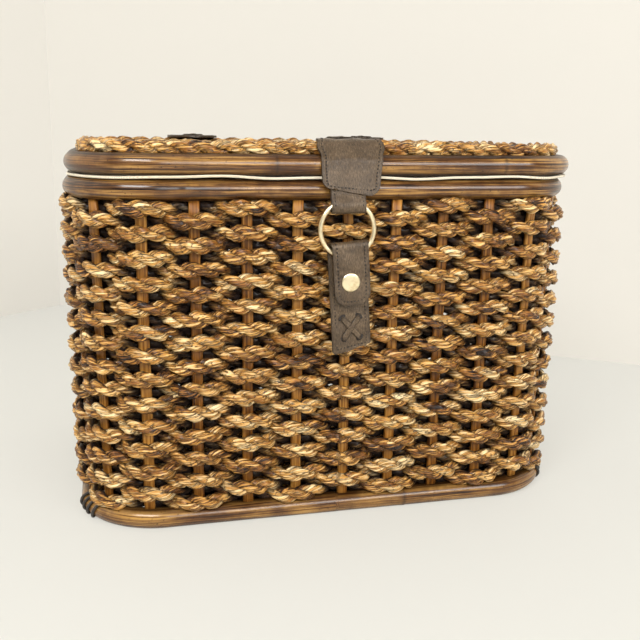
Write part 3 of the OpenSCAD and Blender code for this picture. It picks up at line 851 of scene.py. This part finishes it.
def makeRibs(name, spec):
    rng = np.random.default_rng(spec["ribSeed"])
    bm = newSplintMesh()[0]
    for i in range(spec["ribs"]):
        x = spec["firstRib"] + i * spec["pitch"]
        half = reach(abs(x - spec["x"]) + spec["ribW"] / 2, cornerY, cornerX, spec["ribRadius"])
        addSplint(bm, 2 * half, moved(x, 0, spec["z"]) @ turned(math.pi / 2, "X"), rng)
    finishPiece(meshPiece(name + "Ribs", bm), splintMaterial, "splint", spec["body"], name + "_ribs")


makeStakes()
for name, spec in panels.items():
    makeRibs(name, spec)
print("stakes and ribs made")

# dark cord round the base pole at its front corners
lashing = {"cordR": 1.2 * mm, "turns": 4, "first": 58, "pitch": 7.5, "low": -75, "high": 95, "step": 6,
           "lean": 0.09, "hug": 0.8, "flowStep": 0.8 * mm, "seed": 51}


def makeLashings():
    rng = np.random.default_rng(lashing["seed"])
    angle = np.radians(np.arange(lashing["low"], lashing["high"], lashing["step"]))[:, None]
    away = poleR + lashing["cordR"] * lashing["hug"]
    runs = []
    for side in (-1, 1):
        for i in range(lashing["turns"]):
            turn = math.radians(lashing["first"] + i * lashing["pitch"]) - lashing["lean"] * angle
            outward = np.hstack([side * np.sin(turn), -np.cos(turn), 0 * turn])
            middle = np.array([side * cornerX, -cornerY, baseZ]) + outward * baseR
            path = middle + away * (np.cos(angle) * outward + np.sin(angle) * np.array([0, 0, 1]))
            path[:, 2] = np.maximum(path[:, 2], lashing["cordR"])
            runs.append(newRun(path, np.arange(len(path)) * lashing["flowStep"], rng.uniform(0, 9), 0.5))
    made = tubes("baseLashings", runs, circle(lashing["cordR"], 8), "MINIMUM")
    finishPiece(made, cordMaterial, "dark_cord", "basket", "base_lashings")


makeLashings()

# cloth lining under the lid
lining = {"thick": 0.6 * mm, "drop": 0.3 * mm, "cols": 150, "rows": 110, "wave": 0.55 * mm, "fade": 14 * mm,
          "hemR": 0.7 * mm, "hemTall": 1.3, "hemStops": 420}


def liningLift(x, y, radius):
    pastX, pastY = abs(x) - cornerX, abs(y) - cornerY
    away = np.hypot(max(pastX, 0), max(pastY, 0))
    edge = radius - (away if away > 0 else min(max(pastX, pastY), 0))
    swell = math.sin(x * 61 + 1.3) + 0.7 * math.sin(x * 23 - y * 31) + 0.5 * math.sin(x * 117 + y * 53)
    return lining["wave"] * swell * math.exp(-(edge / lining["fade"]) ** 2)


def makeLining():
    low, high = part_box("lid_lining")
    radius = high.y - cornerY
    middle = (low.z + high.z) / 2 - lining["drop"]
    bm = bmesh.new()
    bmesh.ops.create_grid(bm, x_segments=lining["cols"], y_segments=lining["rows"], size=1)
    for v in bm.verts:
        y = math.sin(v.co.y * math.pi / 2) * (cornerY + radius)
        x = v.co.x * reach(abs(y), cornerX, cornerY, radius)
        v.co = (lidX + x, y, middle + liningLift(x, y, radius))
    made = finishPiece(meshPiece("lidLining", bm), clothMaterial, "lining_cloth", "lid", "lid_lining")
    thick = made.modifiers.new("thickness", "SOLIDIFY")
    thick.thickness = lining["thick"]
    thick.offset = 0
    s = np.linspace(0, loopStops(radius)[-1], lining["hemStops"], endpoint=False)
    points = roundLoop(s, radius, radius)[0]
    points[:, 2] = [middle + liningLift(x, y, radius) for x, y, _ in points]
    points[:, 0] += lidX
    outline = circle(lining["hemR"], 8, lining["hemTall"])
    hem = tubes("liningHem", [newRun(points, s, 0, 0.5, closed=True)], outline)
    finishPiece(hem, clothMaterial, "lining_cloth", "lid")


makeLining()
print("lining made")

# leather: a flat pattern laid along a side view
hide = {"t": 1.8 * mm, "loopT": 1.3 * mm, "gap": 0.3 * mm, "cell": 1.1 * mm, "cornerStep": 1.2 * mm,
        "stitch": 2.6 * mm, "stitchIn": 3.1 * mm, "groove": 0.28 * mm, "grooveWide": 0.8 * mm,
        "edge": 1.2 * mm, "edgeDark": 0.55, "wobble": 0.18 * mm, "bevel": 0.3 * mm}
thread = {"half": 0.4 * mm, "proud": 0.02 * mm, "size": (0.8 * mm, 0.52 * mm, 0.38 * mm)}


def arc(centre, radius, a0, a1, step=4):
    turns = np.radians(np.linspace(a0, a1, max(2, round(abs(a1 - a0) / step))))
    return [(centre[0] + radius * math.sin(a), centre[1] + radius * math.cos(a)) for a in turns]


def sidePath(points):
    flat = np.array(points)
    flat = flat[np.concatenate([[True], np.linalg.norm(np.diff(flat, axis=0), axis=1) > 1e-6])]
    t = distances(flat)
    fine = np.linspace(0, t[-1], max(40, round(t[-1] / (0.5 * mm))))
    line = np.stack([np.interp(fine, t, flat[:, 0]), np.interp(fine, t, flat[:, 1])], 1)
    for i in range(3):
        line[1:-1] = (line[:-2] + 2 * line[1:-1] + line[2:]) / 4
    ahead = unit(np.gradient(line, axis=0))
    return {"t": fine, "line": line, "out": np.stack([-ahead[:, 1], ahead[:, 0]], 1)}


def strapPattern(path, **own):
    spec = {"path": path, "length": path["t"][-1], "thick": hide["t"], "sign": -1, "matrix": Matrix(),
            "slant": lambda t, u: 0, "stitched": 1}
    return {**spec, **own}


def onPath(spec, x, t, lift):
    path = spec["path"]
    d, z = (np.interp(t, path["t"], path["line"][:, i]) + lift * np.interp(t, path["t"], path["out"][:, i])
            for i in (0, 1))
    return spec["matrix"] @ Vector((x, spec["sign"] * d, z))


def outOf(spec, x, t):
    return onPath(spec, x, t, 1) - onPath(spec, x, t, 0)


def wrapPoints(back, low):
    skinBorder = borderTubeR + hide["gap"] + hide["t"] / 2
    skinPole = poleR + hide["gap"] + hide["t"] / 2
    borderAt = (cornerY + borderR, borderZ)
    poleAt = (cornerY + lidR, lidZ)
    stepAway = (poleAt[0] - borderAt[0], borderAt[1] - poleAt[1])
    lean = math.atan2(stepAway[1], stepAway[0]) - math.asin((skinPole - skinBorder) / math.hypot(*stepAway))
    turn = 90 - math.degrees(lean)
    points = [(borderAt[0] + skinBorder - back, borderAt[1] + skinBorder)]
    points += arc(borderAt, skinBorder, 0, turn) + arc(poleAt, skinPole, turn, 90)
    return points + ([(poleAt[0] + skinPole, low)] if low < lidZ else [])


def roundedHalf(half, corner, away):
    corner = min(corner, half)
    if away >= corner:
        return half
    return half - corner + math.sqrt(max(0, corner ** 2 - (corner - max(away, 0)) ** 2))


def strapWidth(spec, t):
    half = spec["half"](t)
    near, far = spec["corners"]
    return min(roundedHalf(half, near, t), roundedHalf(half, far, spec["length"] - t))


def strapRows(spec):
    near, far = spec["corners"]
    length = spec["length"]
    rows = []
    for corner, end, way in ((near, 0, 1), (far, length, -1)):
        steps = max(3, round(corner / hide["cornerStep"]))
        rows += [end + way * corner * (1 - math.cos(a)) for a in np.linspace(0, math.pi / 2, steps)]
    between = max(2, round((length - (near + far)) / hide["cell"]))
    return sorted(rows + list(np.linspace(near, length - far, between)[1:-1]))


def makeStrap(name, spec):
    rows = strapRows(spec)
    cols = max(8, round(2 * spec["half"](spec["length"] / 2) / hide["cell"]))
    bm = bmesh.new()
    bmesh.ops.create_grid(bm, x_segments=cols, y_segments=len(rows) - 1, size=1)
    flowLayer = bm.verts.layers.float_vector.new("flow")
    toneLayer = bm.verts.layers.float.new("tone")
    for v in bm.verts:
        u = math.copysign(abs(v.co.x) ** 0.85, v.co.x)
        t = rows[round((v.co.y + 1) / 2 * (len(rows) - 1))]
        x = spec["mid"](t) + u * strapWidth(spec, t)
        t += spec["slant"](t, u)
        margin = min(strapWidth(spec, t) - abs(x - spec["mid"](t)), spec["length"] - t, t)
        groove = math.exp(-((margin - hide["stitchIn"]) / hide["grooveWide"]) ** 2) * spec["stitched"]
        wobble = hide["wobble"] * (math.sin(x * 330 + t * 140) + math.sin(t * 270 - x * 90))
        v[flowLayer] = (x + spec["start"], t, 0)
        v[toneLayer] = hide["edgeDark"] * math.exp(-(max(margin, 0) / hide["edge"]) ** 2)
        v.co = onPath(spec, x, t, spec["thick"] / 2 - hide["groove"] * groove + wobble)
    bm.normal_update()
    halfway = spec["length"] / 2
    centre = onPath(spec, spec["mid"](halfway), halfway, 0)
    middle = min(bm.faces, key=lambda f: (f.calc_center_median() - centre).length)
    if middle.normal.dot(outOf(spec, 0, halfway)) < 0:
        bmesh.ops.reverse_faces(bm, faces=bm.faces)
    made = meshPiece(name, bm)
    thick = made.modifiers.new("thickness", "SOLIDIFY")
    thick.thickness = spec["thick"]
    thick.offset = -1
    rim = made.modifiers.new("edges", "BEVEL")
    rim.width = hide["bevel"]
    rim.segments = 2
    rim.limit_method = "ANGLE"
    rim.angle_limit = math.radians(50)
    return made


# thread along the inside of a strap's outline, down one side, round its end and back
def stitchLine(spec, start):
    inset = hide["stitchIn"]
    end = spec["length"] - inset
    corner = max(spec["corners"][1] - inset, 0.5 * mm)
    points = [(spec["mid"](t) - (spec["half"](t) - inset), t) for t in np.linspace(start, end - corner, 60)]
    left = spec["mid"](end) - spec["half"](end - corner) + inset
    points += [(left + corner * (1 - math.cos(a)), end - corner + corner * math.sin(a))
               for a in np.linspace(0, math.pi / 2, 12)]
    return points + [(2 * spec["mid"](t) - x, t) for x, t in reversed(points)]


def makeStitches(name, spec, lines, faces):
    bm = bmesh.new()
    for line, face in zip(lines, faces):
        flat = np.array(line)
        t = distances(flat)
        for stop in np.arange(hide["stitch"] / 2, t[-1], hide["stitch"]):
            ends = []
            for away in (-thread["half"], thread["half"]):
                x, along = (np.interp(stop + away, t, flat[:, i]) for i in (0, 1))
                u = (x - spec["mid"](along)) / max(spec["half"](along), 1e-6)
                along += spec["slant"](along, max(-1, min(1, u)))
                ends.append(onPath(spec, x, along, face * (spec["thick"] / 2 + thread["proud"])))
            ahead = (ends[1] - ends[0]).normalized()
            across = outOf(spec, x, along).cross(ahead).normalized()
            facing = Matrix((ahead, across, ahead.cross(across))).transposed().to_4x4()
            matrix = moved(*((ends[0] + ends[1]) / 2)) @ facing @ Matrix.Diagonal((*thread["size"], 1))
            bmesh.ops.create_uvsphere(bm, u_segments=8, v_segments=5, radius=1, matrix=matrix)
    return meshPiece(name, bm)


# a strap with its stitches, shaped across the joint between two bodies and attached to neither
def sewStrap(name, spec, lines, nodes, faces=(1, 1)):
    made = finishPiece(makeStrap(name, spec), leatherMaterial, "leather", None, *nodes)
    sewn = finishPiece(makeStitches(name + "Stitches", spec, lines, faces), threadMaterial, "leather")
    for piece in (made, sewn):
        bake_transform(piece)


# closing tab over the lid's front
tab = {"topHalf": 22.8 * mm, "lowHalf": 20 * mm, "flare": 1.6 * mm, "narrow": 9 * mm, "lowX": 1.7 * mm,
       "topX": 4.2 * mm, "drop": 20.5 * mm, "lift": 5.7 * mm, "back": 46 * mm, "slope": 4.5 * mm,
       "corner": 7.5 * mm, "stitchFrom": 20 * mm}


def makeTab():
    low = lidZ - tab["drop"]
    points = wrapPoints(tab["back"], lidZ)
    foldAt = points[-1][0]
    path = sidePath(points + [(foldAt + 0.8 * mm, lidZ - 4 * mm), (foldAt + tab["lift"], low)])

    def fallen(t):
        z = float(np.interp(t, path["t"], path["line"][:, 1]))
        return max(0, min(1, (borderZ - z) / (borderZ - low)))

    def half(t):
        wide = tab["lowHalf"] + (tab["topHalf"] - tab["lowHalf"]) * (1 - fallen(t))
        return (wide + tab["flare"] * max(0, 1 - 8 * fallen(t))
                - tab["narrow"] * max(0, 1 - t / tab["back"]) ** 0.7)
    spec = strapPattern(path, half=half, start=1.0, corners=(tab["topHalf"] - tab["narrow"], tab["corner"]),
                        mid=lambda t: tab["lowX"] + (tab["topX"] - tab["lowX"]) * (1 - fallen(t)) ** 1.5,
                        slant=lambda t, u: -tab["slope"] * fallen(t) ** 1.5 * (1 - u) / 2)
    sewStrap("closingTab", spec, [stitchLine(spec, tab["stitchFrom"])], ["tab_anchor", "tab_flap"])


makeTab()

# strap folded over the ring, with a snap
ringLow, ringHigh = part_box("ring")
ringY = (ringLow.y + ringHigh.y) / 2
slotHalf = (ringHigh.y - ringLow.y) / 2 + 0.3 * mm
strap = {"half": 14.25 * mm, "x": -0.5 * mm, "lean": 4, "flap": 42 * mm, "back": 78 * mm, "corner": 9.5 * mm,
         "foot": 2.5 * mm, "snap": 25 * mm, "laceUp": 19 * mm, "slope": 5 * mm, "slopeLong": 25 * mm,
         "shift": 1.2 * mm, "shiftLong": 9 * mm, "bend": 1.6 * mm}


def jointPlace(name):
    return next(j["pos_m"] for j in frame["joints"] if j["name"] == name)


strapFoldZ = jointPlace("snap_flap_hinge")[2]
strapMatrix = moved(strap["x"], 0, strapFoldZ) @ turned(math.radians(-strap["lean"]), "Y")


def makeSnapStrap():
    bend = slotHalf + hide["t"] / 2
    d = -ringY
    points = [(d - bend, -strap["back"]), (d - bend, -2 * mm)] + arc((d, 0), bend, -90, 90)
    points += [(d + bend, -2 * mm), (d + bend - 0.2 * mm, -strap["flap"])]

    def folded(t):
        return max(0, min(1, (t - strap["back"]) / strap["shiftLong"]))
    spec = strapPattern(sidePath(points), matrix=strapMatrix, start=2.0, corners=(strap["foot"], strap["corner"]),
                        half=lambda t: strap["half"] - strap["shift"] * folded(t),
                        mid=lambda t: strap["shift"] * folded(t),
                        slant=lambda t, u: strap["slope"] * (1 + u) / 2 * max(0, 1 - t / strap["slopeLong"]))
    foot = hide["stitchIn"]
    inset = strap["half"] - foot
    backTop = strap["back"] - 4 * mm
    backLine = [(-inset, backTop), (-inset, foot), (inset, foot), (inset, backTop)]
    sewStrap("snapStrap", spec, [stitchLine(spec, strap["back"] + 3 * mm), backLine],
             ["strap_back", "strap_fold", "strap_flap"],
             (1, -1))


makeSnapStrap()

# loop that holds the ring under the tab
loop = {"half": 12.2 * mm, "x": -0.6 * mm, "bendHigh": 246.5 * mm, "bendLow": 237 * mm, "corner": 0.5 * mm,
        "stitchIn": 2.2 * mm, "stitchFrom": 17 * mm, "stitchTo": 5 * mm, "groove": 0.6}


def makeRingLoop():
    low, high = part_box("ring_loop")
    d = -ringY
    bend = slotHalf + hide["loopT"] / 2
    bottom = low.z + hide["loopT"] + slotHalf
    points = [(d - 3.9 * mm, high.z), (d - 2.9 * mm, high.z - 6 * mm), (d - bend, high.z - 12 * mm),
              (d - bend, bottom)]
    points += [(d - bend * math.cos(a), bottom - bend * math.sin(a)) for a in np.linspace(0.2, math.pi - 0.2, 14)]
    points += [(d + bend, bottom), (d + bend, bottom + 3.5 * mm), (d - 0.9 * mm, high.z - 7.5 * mm),
               (d - 2.5 * mm, high.z)]
    path = sidePath(points)
    path["out"] = -path["out"]
    spec = strapPattern(path, thick=hide["loopT"], start=3.0, corners=(loop["corner"], loop["corner"]),
                        stitched=loop["groove"], half=lambda t: loop["half"], mid=lambda t: loop["x"])
    inset = loop["half"] - loop["stitchIn"]
    ends = [path["t"][-1] - loop[k] for k in ("stitchFrom", "stitchTo")]
    lines = [[(loop["x"] + side * inset, t) for t in ends] for side in (-1, 1)]
    sewStrap("ringLoop", spec, lines, ["ring_loop"])


makeRingLoop()

# hinge straps over the back of the lid
hinge = {"half": 22 * mm, "top": 48 * mm, "corner": 21.9 * mm, "bend": 6 * mm}
hingeMiddles = [sum(c.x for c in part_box(f"hinge_strap_{side}_lower")) / 2 for side in ("left", "right")]


def makeHinge(label, x, start):
    nodes = [f"hinge_strap_{label.lower()}_{part}" for part in ("lower", "upper")]
    wallFace = wallOut + hide["gap"] + hide["t"] / 2
    points = wrapPoints(hinge["top"], rimZ)
    path = sidePath(points + [(wallFace, rimZ - poleR + 0.4 * mm), (wallFace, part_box(nodes[0])[0].z)])
    spec = strapPattern(path, sign=1, start=start, corners=(hinge["corner"], hinge["corner"]),
                        half=lambda t: hinge["half"], mid=lambda t: x)
    lowerLine = stitchLine(spec, path["t"][-1] / 2)
    upperLine = [(across, path["t"][-1] - t) for across, t in lowerLine]
    sewStrap("hingeStrap" + label, spec, [lowerLine, upperLine], nodes)


makeHinge("Left", hingeMiddles[0], 4.0)
makeHinge("Right", hingeMiddles[1], 5.0)
print("leather straps made")

# crossed laces, with dark shapes at their ends as painted shade in the holes they pass through
lace = {"half": 2.1 * mm, "t": 0.75 * mm, "dip": 1.4 * mm, "step": 0.6 * mm, "lift": 0.55 * mm, "sides": 14,
        "square": 0.6, "slotAt": 0.47, "slot": (1.8 * mm, 3.1 * mm, 0.25 * mm), "slotUp": 0.1 * mm, "rim": 0.9}
laces = {
    "strapLace": {"node": "strap_lace", "body": "basket", "length": 21.5 * mm, "angle": 51, "seed": 61,
                  "flat": False},
    "tabLace": {"node": "tab_lace", "body": "lid", "length": 24 * mm, "angle": 52, "seed": 62, "flat": True},
    "hingeLacesUpper": {"node": "hinge_laces_upper", "body": "lid", "length": 24 * mm, "angle": 52, "seed": 63,
                        "flat": True},
    "hingeLacesLower": {"node": "hinge_laces_lower", "body": "basket", "length": 24 * mm, "angle": 52,
                        "seed": 64, "flat": False}}


def laceSpots(spec):
    low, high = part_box(spec["node"])
    middle = (low + high) / 2
    if spec["node"] == "strap_lace":
        local = moved(0, ringY + slotHalf, strap["laceUp"] - strap["back"])
        return [strapMatrix @ local @ turned(math.pi / 2, "X")]
    across = hingeMiddles if "hinge" in spec["node"] else [middle.x]
    if spec["flat"]:
        return [moved(x, middle.y, low.z) for x in across]
    return [moved(x, low.y, middle.z) @ turned(-math.pi / 2, "X") for x in across]


def laceRuns(matrix, spec, high, rim, rng):
    runs = []
    for over, way in ((0, -1), (1, 1)):
        turn = math.radians(way * spec["angle"])
        along = np.array([math.cos(turn), math.sin(turn), 0])
        u = np.linspace(-1, 1, round(spec["length"] / lace["step"]))
        hump = (high - lace["lift"] - 1.05 * lace["t"]) * over * np.exp(-(u / 0.35) ** 2)
        ends = -lace["dip"] * np.clip((np.abs(u) - 0.84) / 0.16, 0, 1) ** 1.5
        local = along[None] * (u * spec["length"] / 2)[:, None]
        local[:, 2] = lace["lift"] + hump + ends
        radius = 1 + 0.06 * np.sin(u * 4 + rng.uniform(0, 6))
        # painted shade: each lace is darker towards its ends, where it dips into the leather, and along its sides
        tone = np.clip(0.25 + (np.abs(u) - 0.8) * 4, 0.0, 0.9)[:, None]
        runs.append(newRun(np.array([matrix @ Vector(p) for p in local]), (u + 1) * spec["length"] / 2,
                           rng.uniform(0, 9), np.maximum(tone, lace["rim"] * rim[None]), radius))
    return runs


def laceOutline(flat):
    points = []
    for x, y in circle(1, lace["sides"]):
        wide = math.copysign(abs(x) ** lace["square"], x) * lace["half"]
        tall = math.copysign(abs(y) ** lace["square"], y) * lace["t"]
        points.append((wide, tall) if flat else (tall, wide))
    return points


# near-black flat shapes laid on the leather at each lace end: painted shade standing for the holes
def makeSlotShades(name, spec, matrices):
    bm = bmesh.new()
    for matrix in matrices:
        for way in (-1, 1):
            for end in (-1, 1):
                turn = math.radians(way * spec["angle"])
                away = end * spec["length"] * lace["slotAt"]
                spot = moved(math.cos(turn) * away, math.sin(turn) * away, lace["slotUp"])
                shape = spot @ turned(turn, "Z") @ Matrix.Diagonal((*lace["slot"], 1))
                bmesh.ops.create_uvsphere(bm, u_segments=20, v_segments=6, radius=1, matrix=matrix @ shape)
    finishPiece(meshPiece(name, bm), threadMaterial, "leather", spec["body"])


def makeLaces(name, spec):
    rng = np.random.default_rng(spec["seed"])
    low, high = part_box(spec["node"])
    matrices = laceSpots(spec)
    outline = laceOutline(spec["flat"])
    # painted shade along each lace's sides
    rim = np.hypot(*np.transpose(outline)) > 0.93 * lace["half"]
    runs = sum((laceRuns(matrix, spec, min(high - low), rim, rng) for matrix in matrices), [])
    finishPiece(tubes(name, runs, outline), laceMaterial, "leather", spec["body"], spec["node"])
    makeSlotShades(name + "SlotShades", spec, matrices)


for name, spec in laces.items():
    makeLaces(name, spec)
print("laces made")

# metal
cap = {"r": 6.7 * mm, "h": 1.08 * mm, "sink": 0.05 * mm, "steps": 48,
       "section": [(0, 1.12), (0.3, 1.1), (0.62, 1.02), (0.72, 0.97), (0.76, 0.9), (0.8, 0.93), (0.9, 0.84),
                   (0.97, 0.6), (1.0, 0.28), (0.98, 0.0), (0.6, 0.0)]}


def makeCap():
    bm = bmesh.new()
    verts = [bm.verts.new((cap["r"] * r, 0, cap["h"] * h)) for r, h in cap["section"]]
    edges = [bm.edges.new(pair) for pair in zip(verts, verts[1:])]
    bmesh.ops.spin(bm, geom=verts + edges, cent=(0, 0, 0), axis=(0, 0, 1), angle=fullTurn, steps=cap["steps"],
                   use_merge=True)
    bmesh.ops.remove_doubles(bm, verts=bm.verts, dist=1e-6)
    bmesh.ops.recalc_face_normals(bm, faces=bm.faces)
    face = ringY - slotHalf - hide["t"] - cap["sink"]
    matrix = strapMatrix @ moved(0, face, -strap["snap"]) @ turned(math.pi / 2, "X")
    bmesh.ops.transform(bm, matrix=matrix, verts=bm.verts)
    finishPiece(meshPiece("snapCap", bm), brassMaterial, "pale_brass", "snap_flap", "snap_cap")


makeCap()
for name in ("ring", "snap_socket", "snap_stud"):
    finishPiece(frame["nodes"][name], brassMaterial, "pale_brass")
print("metal made")

# floor, two pale walls behind and light
studio = {"floor": (0.66, 0.66, 0.62), "wall": (0.7, 0.68, 0.63), "glowFloor": (0.82, 0.8, 0.73),
          "glowWall": (0.85, 0.81, 0.72), "roughness": 0.75, "share": 0.6, "wallHigh": 2.4,
          "corner": (-0.243, 0.73), "right": (0.812, -0.584), "left": (-0.73, -0.68), "reach": 3.5,
          "sky": (1.0, 0.985, 0.96), "skyLight": 0.15, "skySeen": 0.85, "skyMirrored": 0.2}


def paleMaterial(name, colour, glow):
    mat, tree, shader = newMaterial(name, {"Roughness": studio["roughness"], "Base Color": (*colour, 1)})
    light = node(tree, "ShaderNodeEmission", {"Color": (*glow, 1), "Strength": 1.0})
    seen = scaled(tree, node(tree, "ShaderNodeLightPath").outputs["Is Camera Ray"], studio["share"])
    mixed = node(tree, "ShaderNodeMixShader", {0: seen, 1: shader.outputs[0], 2: light.outputs[0]})
    clear = node(tree, "ShaderNodeBsdfTransparent")
    behind = node(tree, "ShaderNodeNewGeometry").outputs["Backfacing"]
    shown = node(tree, "ShaderNodeMixShader", {0: behind, 1: mixed.outputs[0], 2: clear.outputs[0]})
    tree.links.new(shown.outputs[0], tree.nodes["Material Output"].inputs["Surface"])
    return mat


def makeStage():
    bm = bmesh.new()
    bmesh.ops.create_grid(bm, x_segments=2, y_segments=2, size=5)
    floor = meshPiece("floor", bm)
    floor.data.materials.append(paleMaterial("floor", studio["floor"], studio["glowFloor"]))
    corner = Vector((*studio["corner"], 0))
    top = Vector((0, 0, studio["wallHigh"]))
    bm = bmesh.new()
    for way in (studio["right"], studio["left"]):
        end = corner + Vector((*way, 0)) * studio["reach"]
        face = bm.faces.new([bm.verts.new(p) for p in (corner, end, end + top, corner + top)])
        face.normal_update()
        if face.normal.dot(face.calc_center_median()) > 0:
            face.normal_flip()
    walls = meshPiece("walls", bm)
    walls.data.materials.append(paleMaterial("walls", studio["wall"], studio["glowWall"]))


def makeWorld():
    world = bpy.data.worlds.new("studio")
    bpy.context.scene.world = world
    world.use_nodes = True
    tree = world.node_tree
    lit = tree.nodes["Background"]
    lit.inputs["Color"].default_value = (*studio["sky"], 1)
    rays = node(tree, "ShaderNodeLightPath").outputs
    least = studio["skyLight"]
    level = scaled(tree, rays["Is Camera Ray"], studio["skySeen"] - least, least)
    level = scaled(tree, rays["Is Glossy Ray"], studio["skyMirrored"] - least, level)
    tree.links.new(level, lit.inputs["Strength"])


lamps = {"window": {"place": (0.8, -2.0, 1.0), "size": (1.8, 0.75), "watts": 40},
         "key": {"place": (-0.75, -1.2, 1.3), "size": (0.9, 0.45), "watts": 26},
         "above": {"place": (-0.2, -0.2, 2.0), "size": (1.2, 1.2), "watts": 5}}
lampLook = {"colour": (1.0, 0.975, 0.945), "aim": Vector((0, 0, 0.14))}


def makeLamps():
    for name, spec in lamps.items():
        data = bpy.data.lights.new(name, "AREA")
        data.shape = "RECTANGLE"
        data.size, data.size_y = spec["size"]
        data.energy = spec["watts"]
        data.color = lampLook["colour"]
        lamp = newObject(name, data)
        lamp.location = spec["place"]
        lamp.rotation_mode = "QUATERNION"
        lamp.rotation_quaternion = (lampLook["aim"] - lamp.location).to_track_quat("-Z", "Y")


makeStage()
makeWorld()
makeLamps()
print("stage made")
